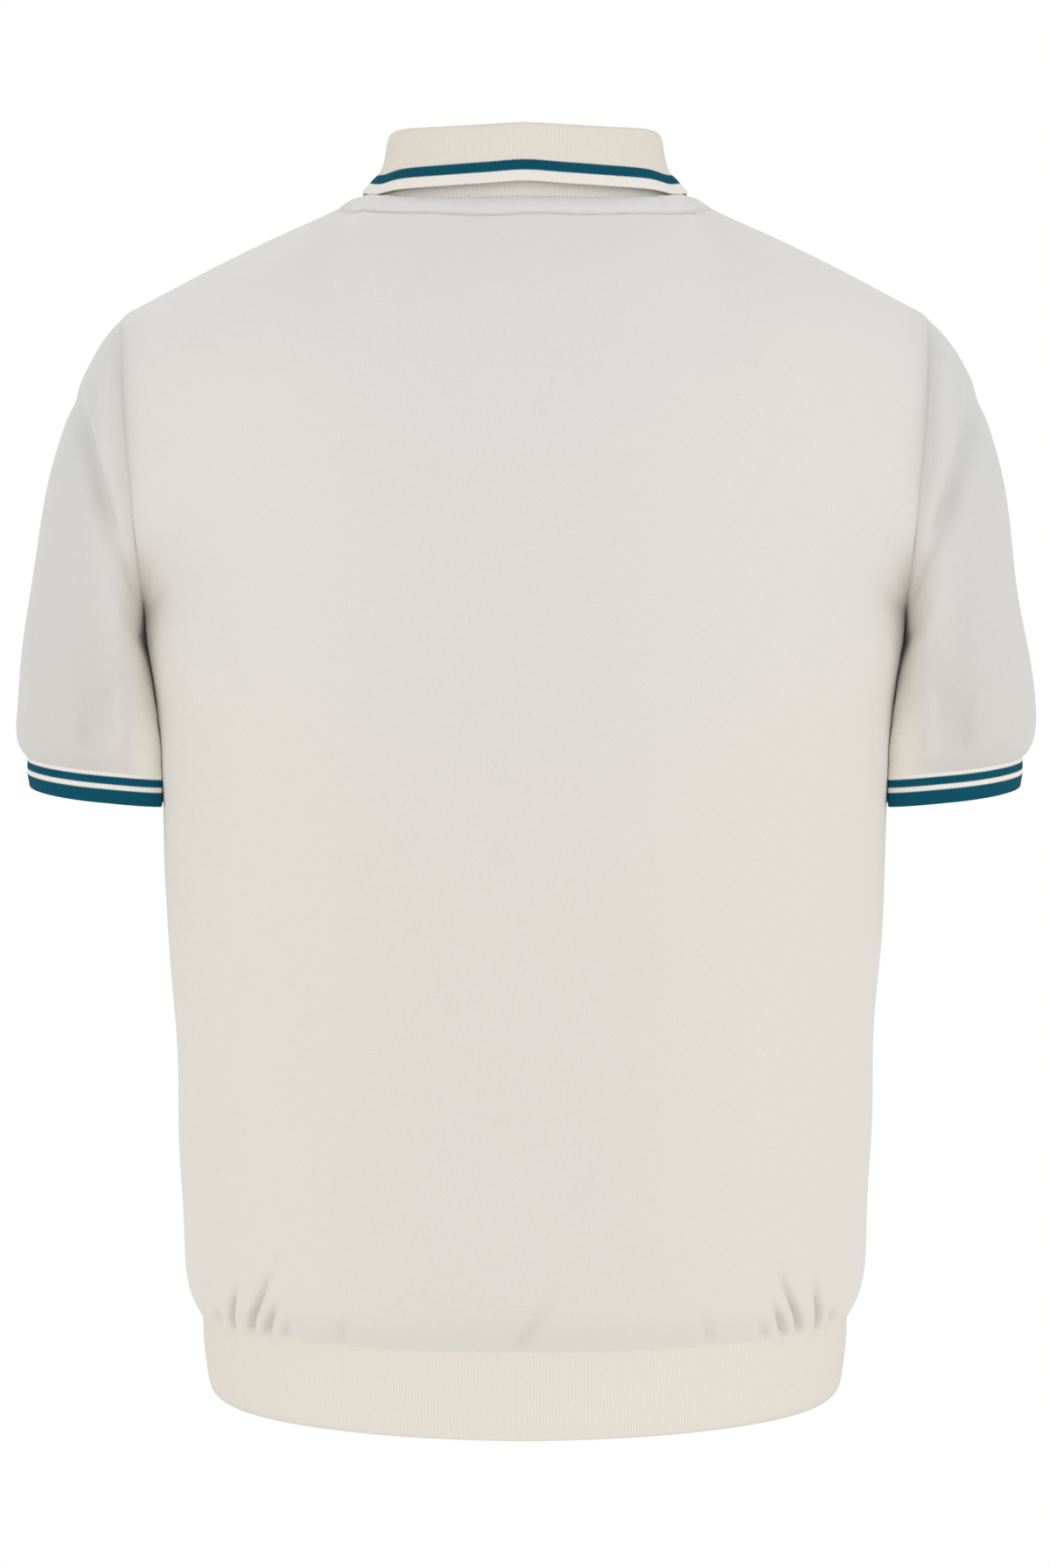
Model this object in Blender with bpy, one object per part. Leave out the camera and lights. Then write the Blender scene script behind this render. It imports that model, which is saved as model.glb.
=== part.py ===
"""A velour polo shirt with a flat-knit collar, tipped rib cuffs and a rib waistband.

It keeps the hollow form of a worn shirt. The front faces -Y, the wearer's left is +X and up is +Z.
The origin is the middle of the neck opening, level with the points where the shoulder seams meet
the neck. All lengths are metres and all angles degrees.

Every piece of cloth is a wall: a grid of points on its outer side, and the same grid moved in by
the cloth's thickness. Rows run up the garment and columns run round it. Where two pieces are sewn,
they share the points of the seam, so the gap between them is even.
"""

import math
from collections import namedtuple

import bpy
import numpy as np

# Cloth and seams
VELOUR_THICKNESS = 0.0020
RIB_THICKNESS = 0.0022
COLLAR_THICKNESS = 0.0020
BAND_THICKNESS = 0.0030     # the waistband is folded double
SEAM_GAP = 0.0003
MOST_MITRE = 1.4            # how much longer than the thickness a mitred edge may be
LEAST_BEND = 0.15           # a seam that bends less than this needs no mitre
SAME_POINT = 0.00001        # points nearer than this are one point of a seam
UP = np.array([0.0, 0.0, 1.0])
FORWARD = np.array([0.0, -1.0, 0.0])
INWARD = np.array([-1.0, 0.0, 0.0])         # towards the centre line, on the wearer's left half

# Heights of the level lines, measured down from the neck
WAIST_SEAM = -0.6305        # where the rib waistband is sewn on
HEM = -0.6768               # the lowest edge
CHEST_LINE = -0.2380        # the level of the underarm points

# Neck opening
NECK_HALF_WIDTH = 0.0900
NECK_POINT_HEIGHT = -0.0015  # where the shoulder seam meets the neck
NECK_BACK = 0.0660          # how far the centre back lies behind the shoulder seam
NECK_FRONT = 0.0880         # how far the centre front lies before it
BACK_NECK_DROP = 0.0116
FRONT_NECK_DROP = 0.0780
BACK_NECK_LEVELNESS = 3.5   # high, so that the back neck stays level before it climbs
FRONT_NECK_LEVELNESS = 1.8

# Shoulder seam
SHOULDER_TIP = np.array([0.2243, -0.0020, -0.0664])
SHOULDER_CROWN = 0.0026     # how far the seam bows up over the shoulder

# Sleeve, cuff and how the arm hangs
SLEEVE_CLEARANCE = 0.0014   # least room between the sleeve and the body's side
CLEARANCE_SOFTNESS = 0.004  # how gently the sleeve turns where it lies along the side
CLEARANCE_FADE = 0.010      # how far below the chest line it does so fully
SLEEVE_FLATNESS = 0.35      # how flat the sleeve lies along the body, from 0 to 1
FLATNESS_REACH = 0.24       # share of the sleeve's length by which it lies that flat
STRAIGHT_RINGS = 4          # under the arm the sleeve runs straight from the armhole to this ring
UNDERARM_START = 0.30       # cosine of the angle from the arm's outer line where that begins
UNDERARM_REACH = 0.90       # and how much less it is where the cloth runs quite straight
UNDERARM_END = -0.97        # the cosine where that ends, just under the arm
UNDERARM_FADE = 0.25        # and over how much of the cosine it fades out
CUFF_HEIGHT = 0.0172
CUFF_TILT_BACK = 0.09       # the cuff's plane falls by this much for each metre backwards

# Placket and buttons on the front
PLACKET_HALF_WIDTH = 0.0150
PLACKET_ROWS = 8            # panel rows, from the neck down, that the opening cuts through
PLACKET_PROUD = 0.0008      # how far the upper band stands out of the front panel
UPPER_BAND_THICKNESS = 0.0028
UNDER_BAND_DEPTH = 0.0024   # from the panel's outer side to the under band's
UNDER_BAND_THICKNESS = 0.0020
BUTTON_RADIUS = 0.0057
BUTTON_THICKNESS = 0.0026
BUTTON_DROPS = (0.0230, 0.0600, 0.0970)   # down the placket from the neck seam
BUTTON_SIDES = 24
# The button's section, as shares of its radius and of half its thickness, with a raised rim
BUTTON_PROFILE = ((0.60, -1.0), (0.90, -0.8), (1.0, -0.1), (0.97, 0.7), (0.88, 1.0), (0.74, 0.85),
                  (0.62, 0.35))

# The body as level sections. The seam column is where the side seam lies, as an angle from the
# centre back. The back column reaches from the middle to the centre back, the front column from
# the middle to the centre front.
Section = namedtuple("Section", "height half_width back front middle seam")
BODY = (
    Section(height=-0.6768, half_width=0.1686, back=0.1430, front=0.1050, middle=-0.015, seam=80),
    Section(height=-0.6742, half_width=0.1740, back=0.1430, front=0.1085, middle=-0.015, seam=80),
    Section(height=-0.6700, half_width=0.1775, back=0.1415, front=0.1095, middle=-0.015, seam=80),
    Section(height=-0.6604, half_width=0.1796, back=0.1405, front=0.1098, middle=-0.015, seam=80),
    Section(height=-0.6400, half_width=0.1818, back=0.1400, front=0.1100, middle=-0.015, seam=80),
    Section(height=-0.6305, half_width=0.1820, back=0.1400, front=0.1105, middle=-0.014, seam=80),
    Section(height=-0.6235, half_width=0.1862, back=0.1430, front=0.1145, middle=-0.013, seam=78),
    Section(height=-0.6150, half_width=0.1895, back=0.1460, front=0.1190, middle=-0.012, seam=75),
    Section(height=-0.6000, half_width=0.1922, back=0.1480, front=0.1220, middle=-0.011, seam=71),
    Section(height=-0.5750, half_width=0.1930, back=0.1475, front=0.1235, middle=-0.010, seam=68),
    Section(height=-0.5300, half_width=0.1947, back=0.1455, front=0.1260, middle=-0.010, seam=66),
    Section(height=-0.4600, half_width=0.1977, back=0.1430, front=0.1310, middle=-0.009, seam=68),
    Section(height=-0.3800, half_width=0.2025, back=0.1400, front=0.1390, middle=-0.008, seam=74),
    Section(height=-0.3000, half_width=0.2070, back=0.1385, front=0.1460, middle=-0.007, seam=84),
    Section(height=-0.2380, half_width=0.2140, back=0.1380, front=0.1480, middle=-0.006, seam=90),
)

# The sleeve as rings from the armhole to the cuff. Each ring hangs between an outer point over the
# arm and an inner point towards the body, and is as deep as its two depths from its middle.
Ring = namedtuple("Ring", "along outer_x outer_z inner_x inner_z middle back front")
SLEEVE = (
    Ring(along=0.060, outer_x=0.2318, outer_z=-0.0768, inner_x=0.2160, inner_z=-0.2395,
         middle=0.002, back=0.0665, front=0.0650),
    Ring(along=0.140, outer_x=0.2445, outer_z=-0.0950, inner_x=0.2172, inner_z=-0.2418,
         middle=-0.002, back=0.0680, front=0.0660),
    Ring(along=0.240, outer_x=0.2550, outer_z=-0.1163, inner_x=0.2168, inner_z=-0.2455,
         middle=-0.007, back=0.0690, front=0.0670),
    Ring(along=0.360, outer_x=0.2655, outer_z=-0.1470, inner_x=0.2150, inner_z=-0.2510,
         middle=-0.012, back=0.0690, front=0.0670),
    Ring(along=0.500, outer_x=0.2742, outer_z=-0.1860, inner_x=0.2110, inner_z=-0.2610,
         middle=-0.018, back=0.0680, front=0.0665),
    Ring(along=0.640, outer_x=0.2810, outer_z=-0.2260, inner_x=0.2070, inner_z=-0.2735,
         middle=-0.024, back=0.0670, front=0.0660),
    Ring(along=0.780, outer_x=0.2873, outer_z=-0.2620, inner_x=0.2020, inner_z=-0.2895,
         middle=-0.029, back=0.0665, front=0.0655),
    Ring(along=0.880, outer_x=0.2905, outer_z=-0.2870, inner_x=0.1970, inner_z=-0.3035,
         middle=-0.032, back=0.0665, front=0.0655),
    Ring(along=0.950, outer_x=0.2903, outer_z=-0.3030, inner_x=0.1950, inner_z=-0.3150,
         middle=-0.034, back=0.0660, front=0.0650),
    Ring(along=0.985, outer_x=0.2870, outer_z=-0.3110, inner_x=0.1930, inner_z=-0.3200,
         middle=-0.035, back=0.0635, front=0.0630),
    Ring(along=1.000, outer_x=0.2842, outer_z=-0.3140, inner_x=0.1920, inner_z=-0.3228,
         middle=-0.035, back=0.0620, front=0.0620),
)

# Grid stations. Across a half panel they run from the centre line, 0, to the side seam, 1, and
# they are closest together where the cloth is gathered.
BACK_NECK_CORNER = 0.46     # the station of the corner where the shoulder seam meets the neck
FRONT_NECK_CORNER = 0.53
NECK_COLUMNS = 8            # intervals from the centre line to the corner
SHOULDER_COLUMNS = ((0.22, 2), (0.845, 13), (1.0, 2))   # intervals up to each share beyond it
LOWER_ROWS = (-0.6305, -0.6255, -0.6170, -0.6030, -0.5780, -0.5300, -0.4600, -0.3800, -0.3000, -0.2380)
CHEST_ROW_LENGTH = 0.33     # about half the row at the chest line
COLUMN_LENGTH = 0.24        # about a column's length from there to the shoulder
FAIRING_REACH = 0.030       # bends sharper than this are spread out over the panel
BACK_UPPER_ROWS = 11
FRONT_UPPER_ROWS = 10
BAND_ROWS = (-0.6768, -0.6742, -0.6700, -0.6500, -0.6305)
CUFF_ROWS = ((0.0, 0.0), (0.90, 0.0), (1.0, 0.0012))    # share of the height, and how far drawn in

# Gathers over the waist seam, on each side of a panel. The place is measured along the seam from
# the centre line; the lean is how far a gather strays from the side for each metre it climbs.
Gather = namedtuple("Gather", "place width depth height lean")
BACK_GATHERS = (
    Gather(place=0.196, width=0.0040, depth=0.0024, height=0.014, lean=0.10),
    Gather(place=0.181, width=0.0040, depth=0.0038, height=0.030, lean=0.05),
    Gather(place=0.165, width=0.0042, depth=0.0040, height=0.046, lean=-0.35),
    Gather(place=0.152, width=0.0040, depth=0.0030, height=0.018, lean=-0.30),
    Gather(place=0.137, width=0.0040, depth=0.0018, height=0.012, lean=-0.20),
    Gather(place=0.100, width=0.0050, depth=0.0015, height=0.018, lean=0.00),
)
FRONT_GATHERS = (
    Gather(place=0.228, width=0.0040, depth=0.0024, height=0.016, lean=0.10),
    Gather(place=0.214, width=0.0042, depth=0.0036, height=0.034, lean=0.00),
    Gather(place=0.198, width=0.0040, depth=0.0030, height=0.022, lean=-0.25),
    Gather(place=0.181, width=0.0042, depth=0.0034, height=0.040, lean=-0.30),
    Gather(place=0.166, width=0.0045, depth=0.0018, height=0.014, lean=-0.10),
)
GATHER_FOOT = 0.004         # a gather starts this far above the seam
CENTRE_FOLD = Gather(place=-0.001, width=0.0065, depth=0.0020, height=0.050, lean=0.45)

# Soft troughs on the sleeve, from a point near the armhole to one near the cuff. Round is the
# angle from the arm's outer line towards the back, along is the share of the sleeve's length.
Trough = namedtuple("Trough", "round_from along_from round_to along_to width depth")
TROUGH_END = 0.25           # share of a trough's run over which it fades at each end
SLEEVE_TROUGHS = (
    Trough(round_from=15, along_from=0.26, round_to=160, along_to=0.10, width=0.05, depth=0.0045),
    Trough(round_from=-20, along_from=0.24, round_to=-160, along_to=0.12, width=0.06, depth=0.0040),
)

# Each panel leaves the chest line upwards and arrives at its neck or shoulder seam. Rise and slide
# are how hard it leaves, up and towards the centre line. Reach, inward and lift are how hard it
# arrives: forwards, towards the centre line and up.
Arc = namedtuple("Arc", "station rise slide reach inward lift")
BACK_ARCS = (
    Arc(station=0.00, rise=0.260, slide=0.000, reach=0.160, inward=0.000, lift=0.170),
    Arc(station=0.25, rise=0.260, slide=0.100, reach=0.180, inward=0.070, lift=0.140),
    Arc(station=0.46, rise=0.250, slide=0.200, reach=0.210, inward=0.140, lift=0.105),
    Arc(station=0.62, rise=0.240, slide=0.250, reach=0.260, inward=0.060, lift=0.060),
    Arc(station=0.78, rise=0.210, slide=0.270, reach=0.270, inward=0.000, lift=0.040),
    Arc(station=1.00, rise=0.040, slide=0.290, reach=0.240, inward=0.000, lift=0.060),
)
FRONT_ARCS = (
    Arc(station=0.00, rise=0.170, slide=0.000, reach=-0.080, inward=0.000, lift=0.130),
    Arc(station=0.25, rise=0.180, slide=0.060, reach=-0.100, inward=0.060, lift=0.130),
    Arc(station=0.53, rise=0.220, slide=0.160, reach=-0.170, inward=0.140, lift=0.130),
    Arc(station=0.68, rise=0.220, slide=0.210, reach=-0.240, inward=0.060, lift=0.070),
    Arc(station=0.82, rise=0.200, slide=0.240, reach=-0.250, inward=0.000, lift=0.050),
    Arc(station=1.00, rise=0.040, slide=0.260, reach=-0.230, inward=0.000, lift=0.060),
)

# The collar round the neck, as angles from the centre back. Its outer side is the side that faces
# outwards on the stand and is hidden under the fall. Lean is how far the fold lies inside the neck
# seam, stand how high it is and bow how flat the stand starts. Out and drop place the fall's edge
# from the neck seam, and spread carries it sideways, which makes the points at the front.
Profile = namedtuple("Profile", "angle lean stand bow out drop spread")
COLLAR = (
    Profile(angle=0, lean=.0080, stand=.0396, bow=0.0, out=+.0100, drop=+.0074, spread=0.000),
    Profile(angle=45, lean=.0115, stand=.0375, bow=0.4, out=+.0062, drop=+.0058, spread=0.000),
    Profile(angle=90, lean=.0197, stand=.0320, bow=0.9, out=-.0006, drop=+.0034, spread=0.000),
    Profile(angle=135, lean=.0120, stand=.0270, bow=0.7, out=+.0150, drop=-.0105, spread=0.000),
    Profile(angle=180, lean=.0050, stand=.0240, bow=0.2, out=+.0260, drop=-.0270, spread=0.030),
)
FOLD_RADIUS = 0.0021        # on the hidden side
STAND_STEPS = 3
FOLD_STEPS = 3
FALL_STEPS = 4
FALL_FLARE = (0.15, 0.40)   # where the fall bends outwards, as shares of its width and height
COLLAR_PARTING = 0.0015     # half the gap between the collar's two ends
COLLAR_CLEARANCE = 0.0030   # least height of the fall over the panels

COLOURS = {
    "velour": (0.72, 0.71, 0.67, 1.0),
    "rib": (0.76, 0.73, 0.64, 1.0),
    "button": (0.80, 0.78, 0.72, 1.0),
}


# ---- small helpers ---------------------------------------------------------------------------

def unit(vectors):
    """Vectors at length one, along the last axis."""
    lengths = np.linalg.norm(vectors, axis=-1, keepdims=True)
    return vectors / np.maximum(lengths, 1e-12)


def ease(value):
    """Goes smoothly from 0 to 1 as the value does."""
    value = np.clip(value, 0.0, 1.0)
    return value * value * (3.0 - 2.0 * value)


def read(table, key, column, at):
    """One column of a table at any value of its key, on a smooth curve with no overshoot."""
    rows = sorted(table, key=lambda row: getattr(row, key))
    places = np.array([getattr(row, key) for row in rows], dtype=float)
    values = np.array([getattr(row, column) for row in rows], dtype=float)
    steps = np.diff(places)
    slopes = np.diff(values) / steps
    tangents = np.concatenate([slopes[:1], np.zeros(len(rows) - 2), slopes[-1:]])
    for k in range(1, len(rows) - 1):
        if slopes[k - 1] * slopes[k] > 0:
            tangents[k] = 2.0 / (1.0 / slopes[k - 1] + 1.0 / slopes[k])
    at = np.clip(np.asarray(at, dtype=float), places[0], places[-1])
    cell = np.clip(np.searchsorted(places, at, side="right") - 1, 0, len(steps) - 1)
    step = steps[cell]
    t = (at - places[cell]) / step
    start, end = values[cell], values[cell + 1]
    leave, arrive = tangents[cell] * step, tangents[cell + 1] * step
    return (start + (end - start) * t * t * (3 - 2 * t)
            + leave * t * (1 - t) ** 2 - arrive * t * t * (1 - t))


def run_along(points):
    """How far each point lies along a polyline."""
    lengths = np.linalg.norm(np.diff(points, axis=0), axis=1)
    return np.concatenate([[0.0], np.cumsum(lengths)])


def spread(points, shares):
    """Points at the given shares of a polyline's length."""
    run = run_along(points)
    at = np.asarray(shares) * run[-1]
    return np.stack([np.interp(at, run, points[:, k]) for k in range(3)], axis=1)


def mirrored(points):
    """The same points on the other side of the body."""
    return points * np.array([-1.0, 1.0, 1.0])


def bend(start, control, end, shares):
    """Points on a curve that leaves its start, and reaches its end, towards a control point."""
    t = np.asarray(shares)[:, None]
    return (1 - t) ** 2 * start + 2 * t * (1 - t) * control + t ** 2 * end


# ---- the body's form -------------------------------------------------------------------------

def body_point(height, angle):
    """A point of the body's level section, the angle running from the centre back."""
    turn = np.radians(angle)
    depth = np.where(np.cos(turn) > 0, read(BODY, "height", "back", height),
                     read(BODY, "height", "front", height))
    x = read(BODY, "height", "half_width", height) * np.sin(turn)
    y = read(BODY, "height", "middle", height) + depth * np.cos(turn)
    return np.stack([x, y, np.broadcast_to(height, x.shape)], axis=-1)


def body_side(y, height):
    """How far the body's side reaches outwards at a depth and height."""
    height = np.clip(height, HEM, CHEST_LINE)
    middle = read(BODY, "height", "middle", height)
    depth = np.where(y > middle, read(BODY, "height", "back", height),
                     read(BODY, "height", "front", height))
    across = np.clip(1.0 - ((y - middle) / depth) ** 2, 0.0, 1.0)
    return read(BODY, "height", "half_width", height) * np.sqrt(across)


def half_row(height, side, shares):
    """One level row of half a panel, from the centre line to the side seam."""
    seam = read(BODY, "height", "seam", height)
    centre = 0.0 if side == "back" else 180.0
    angles = np.linspace(centre, seam, 241)
    return spread(body_point(np.full(angles.shape, height), angles), shares)


def neck_curve(side, samples=121):
    """Half the neck seam, from the centre line to the shoulder seam."""
    turn = np.linspace(0.0, math.pi / 2, samples)
    x = NECK_HALF_WIDTH * np.sin(turn)
    if side == "back":
        y = NECK_BACK * np.cos(turn)
        climb = (x / NECK_HALF_WIDTH) ** BACK_NECK_LEVELNESS
        z = NECK_POINT_HEIGHT - (BACK_NECK_DROP + NECK_POINT_HEIGHT) * (1.0 - climb)
    else:
        y = -NECK_FRONT * np.cos(turn)
        fall = np.maximum(np.cos(turn), 0.0) ** FRONT_NECK_LEVELNESS
        z = NECK_POINT_HEIGHT - (FRONT_NECK_DROP + NECK_POINT_HEIGHT) * fall
    return np.stack([x, y, z], axis=1)


def shoulder_curve(samples=61):
    """The shoulder seam, from the neck to the armhole."""
    share = np.linspace(0.0, 1.0, samples)[:, None]
    neck = np.array([NECK_HALF_WIDTH, 0.0, NECK_POINT_HEIGHT])
    crown = np.array([0.0, 0.0, SHOULDER_CROWN]) * np.sin(math.pi * share)
    return neck + (SHOULDER_TIP - neck) * share + crown


def panel_shares(corner):
    """Stations across half a panel, closest together over the gathers."""
    shares = list(np.linspace(0.0, corner, NECK_COLUMNS + 1))
    for end, count in SHOULDER_COLUMNS:
        mark = corner + (1.0 - corner) * end
        shares.extend(np.linspace(shares[-1], mark, count + 1)[1:])
    return np.array(shares)


def top_row(side, shares, corner):
    """The upper edge of half a panel: neck seam, then shoulder seam."""
    on_neck = shares <= corner + 1e-9
    neck = spread(neck_curve(side), shares[on_neck] / corner)
    neck[-1] = (NECK_HALF_WIDTH, 0.0, NECK_POINT_HEIGHT)
    shoulder = spread(shoulder_curve(), (shares[~on_neck] - corner) / (1.0 - corner))
    return np.concatenate([neck, shoulder])


def yoke(side, shares, corner, climbs):
    """The rows of half a panel from the chest line to the shoulder, one smooth arc a column."""
    arcs = BACK_ARCS if side == "back" else FRONT_ARCS
    low = half_row(CHEST_LINE, side, shares)
    high = top_row(side, shares, corner)
    towards_centre = -unit(np.gradient(low, axis=0))
    rise, slide, reach, inward, lift = (read(arcs, "station", column, shares)[:, None]
                                        for column in Arc._fields[1:])
    leave = rise * UP + slide * towards_centre
    arrive = reach * FORWARD + inward * INWARD + lift * UP
    t = np.asarray(climbs)[:, None, None]
    return ((2 * t ** 3 - 3 * t ** 2 + 1) * low + (t ** 3 - 2 * t ** 2 + t) * leave
            + (3 * t ** 2 - 2 * t ** 3) * high + (t ** 3 - t ** 2) * arrive)


def differences(places):
    """What turns values at places along a line into their first and second slopes there."""
    steps = np.diff(places)
    first = (np.eye(len(places))[1:] - np.eye(len(places))[:-1]) / steps[:, None]
    second = (first[1:] - first[:-1]) * 2 / (steps[1:] + steps[:-1])[:, None]
    return first, second


def faired(grid, along, across, free):
    """A grid whose free points bend as evenly as cloth does, and stay near where they were."""
    first_along, second_along = differences(along)
    first_across, second_across = differences(across)
    bends = np.concatenate([
        np.kron(second_along, np.eye(len(across))),
        np.kron(np.eye(len(along)), second_across),
        math.sqrt(2) * np.kron(first_along, first_across),
        np.eye(len(along) * len(across)) / FAIRING_REACH ** 2])
    points = grid.reshape(-1, 3)
    wanted = np.zeros((len(bends), 3))
    wanted[-len(points):] = points / FAIRING_REACH ** 2
    free = free.ravel()
    loose, held = bends[:, free], bends[:, ~free]
    faired_points = points.copy()
    faired_points[free] = np.linalg.solve(loose.T @ loose, loose.T @ (wanted - held @ points[~free]))
    return faired_points.reshape(grid.shape)


def gather_depth(gathers, places, climb):
    """How deep the cloth is drawn in at places along the seam, at a height above it."""
    depth = np.zeros_like(places)
    for gather in gathers:
        strength = ease(climb / GATHER_FOOT) * ease(1.3 * (gather.height - climb) / gather.height)
        middle = gather.place + gather.lean * climb
        depth += gather.depth * strength * np.exp(-((places - middle) / gather.width) ** 2)
    return depth


# ---- cloth as walls --------------------------------------------------------------------------

class Cloth:
    """A piece of cloth: a grid of points on its outer side, and the vector out of it at each."""

    def __init__(self, points, thickness, around=False, flip=False):
        self.points = np.array(points)
        self.thickness = thickness
        self.around = around
        self.flip = flip
        self.seams = []
        self.settle()

    def settle(self):
        """Works out the outward vectors from the points."""
        up = np.gradient(self.points, axis=0)
        if self.around:
            across = np.roll(self.points, -1, axis=1) - np.roll(self.points, 1, axis=1)
        else:
            across = np.gradient(self.points, axis=1)
        self.walls = unit(np.cross(across, up)) * (-1.0 if self.flip else 1.0)

    def seam(self, edge, beside):
        """Notes an edge that is sewn, and the points next to it inside the piece."""
        self.seams.append((edge, beside))

    def inner(self):
        return self.points - self.thickness * self.walls


def sew(pieces):
    """Mitres the edges that pieces share and parts them by the seam gap."""
    edges = [(piece, edge, beside) for piece in pieces for edge, beside in piece.seams]
    places = np.concatenate([piece.points[edge] for piece, edge, _ in edges])
    normals = np.concatenate([piece.walls[edge] for piece, edge, _ in edges])
    found = []
    for piece, edge, beside in edges:
        mitres = []
        for place in piece.points[edge]:
            near = normals[np.linalg.norm(places - place, axis=1) < SAME_POINT]
            mitre = np.linalg.pinv(near, rcond=LEAST_BEND) @ np.ones(len(near))
            mitres.append(mitre * min(1.0, MOST_MITRE / np.linalg.norm(mitre)))
        mitres = np.array(mitres)
        line = piece.points[edge]
        if piece.around:
            tangent = np.roll(line, -1, axis=0) - np.roll(line, 1, axis=0)
        else:
            tangent = np.gradient(line, axis=0)
        across = unit(np.cross(unit(tangent), unit(mitres)))
        inwards = np.sum(across * (piece.points[beside] - line), axis=1, keepdims=True)
        found.append((piece, edge, mitres, across * np.sign(inwards) * SEAM_GAP / 2))
    for piece, edge, mitres, shift in found:
        piece.walls[edge] = mitres
        piece.points[edge] += shift


def split(points, a, b, c, d):
    """A four-sided cell as two triangles, parted along its shorter diagonal."""
    if np.linalg.norm(points[a] - points[c]) < np.linalg.norm(points[b] - points[d]):
        return [(a, b, c), (a, c, d)]
    return [(a, b, d), (b, c, d)]


def add_wall(name, cloth, material, dropped=()):
    """A closed solid from a piece of cloth, without the cells that are dropped."""
    rows, columns = cloth.points.shape[:2]
    count = rows * columns
    points = np.concatenate([cloth.points.reshape(-1, 3), cloth.inner().reshape(-1, 3)])
    sheet = []
    for i in range(rows - 1):
        for j in range(columns if cloth.around else columns - 1):
            k = (j + 1) % columns
            if (i, j) not in dropped:
                below, above = i * columns, (i + 1) * columns
                sheet += split(points, below + j, below + k, above + k, above + j)
    if cloth.flip:
        sheet = [face[::-1] for face in sheet]
    edges = {(a, b) for face in sheet for a, b in zip(face, face[1:] + face[:1])}
    faces = sheet + [tuple(corner + count for corner in face[::-1]) for face in sheet]
    for a, b in sorted(edges):
        if (b, a) not in edges:
            faces += split(points, b, a, a + count, b + count)
    add_mesh(name, points, faces, material)


def add_mesh(name, points, faces, material):
    """An object from points and faces, without the points that no face uses."""
    used = sorted({corner for face in faces for corner in face})
    index = {old: new for new, old in enumerate(used)}
    mesh = bpy.data.meshes.new(name)
    mesh.from_pydata([tuple(points[k]) for k in used], [],
                     [tuple(index[k] for k in face) for face in faces])
    mesh.shade_smooth()
    mesh.set_sharp_from_angle(angle=math.radians(40))
    mesh.materials.append(material)
    bpy.context.scene.collection.objects.link(bpy.data.objects.new(name, mesh))


def finish(name, roughness):
    """A material of one colour."""
    material = bpy.data.materials.new(name)
    material.use_nodes = True
    shader = material.node_tree.nodes["Principled BSDF"]
    shader.inputs["Base Color"].default_value = COLOURS[name]
    shader.inputs["Roughness"].default_value = roughness
    shader.inputs["Metallic"].default_value = 0.0
    return material


# ---- front and back --------------------------------------------------------------------------

def make_panel(side):
    """The back or front panel, from the wearer's right side seam to the left one."""
    back = side == "back"
    corner = BACK_NECK_CORNER if back else FRONT_NECK_CORNER
    shares = panel_shares(corner)
    climbs = np.linspace(0.0, 1.0, (BACK_UPPER_ROWS if back else FRONT_UPPER_ROWS) + 1)
    lower = np.array([half_row(height, side, shares) for height in LOWER_ROWS[:-1]])
    half = np.concatenate([lower, yoke(side, shares, corner, climbs)])
    grid = np.concatenate([mirrored(half[:, :0:-1]), half], axis=1)
    across = np.concatenate([-shares[:0:-1], shares]) * CHEST_ROW_LENGTH
    along = np.concatenate([LOWER_ROWS[-3:-1], CHEST_LINE + climbs * COLUMN_LENGTH])
    free = np.zeros((len(along), len(across)), dtype=bool)
    free[4:-1, 1:-1] = True
    grid[len(lower) - 2:] = faired(grid[len(lower) - 2:], along, across, free)
    middle = len(shares) - 1
    if not back:
        grid[len(lower):, middle - 1, 0] = -PLACKET_HALF_WIDTH
        grid[len(lower):, middle + 1, 0] = PLACKET_HALF_WIDTH
    panel = Cloth(grid, VELOUR_THICKNESS, flip=back)
    place = run_along(panel.points[0])
    place -= place[-1] / 2
    for i, height in enumerate(LOWER_ROWS[:-1]):
        climb = height - WAIST_SEAM
        depth = gather_depth(BACK_GATHERS if back else FRONT_GATHERS, np.abs(place), climb)
        if back:
            depth += gather_depth((CENTRE_FOLD,), place, climb)
        panel.points[i] -= depth[:, None] * panel.walls[i]
    panel.settle()
    chest = len(lower)
    for end, beside in ((0, 1), (-1, -2)):
        panel.seam(np.s_[:chest + 1, end], np.s_[:chest + 1, beside])
        panel.seam(np.s_[chest:, end], np.s_[chest:, beside])
    panel.seam(np.s_[0, :], np.s_[1, :])
    right, left = middle - NECK_COLUMNS, middle + NECK_COLUMNS
    for part in (np.s_[:right + 1], np.s_[right:left + 1], np.s_[left:]):
        panel.seam((-1, part), (-2, part))
    panel.chest, panel.middle = chest, middle
    return panel


# ---- sleeves and cuffs -----------------------------------------------------------------------

def armhole(back, front):
    """The left armhole's points, from the shoulder tip down the back and up the front."""
    behind = back.points[:back.chest - 1:-1, -1]
    before = front.points[front.chest + 1:-1, -1]
    return np.concatenate([behind, before])


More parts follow.
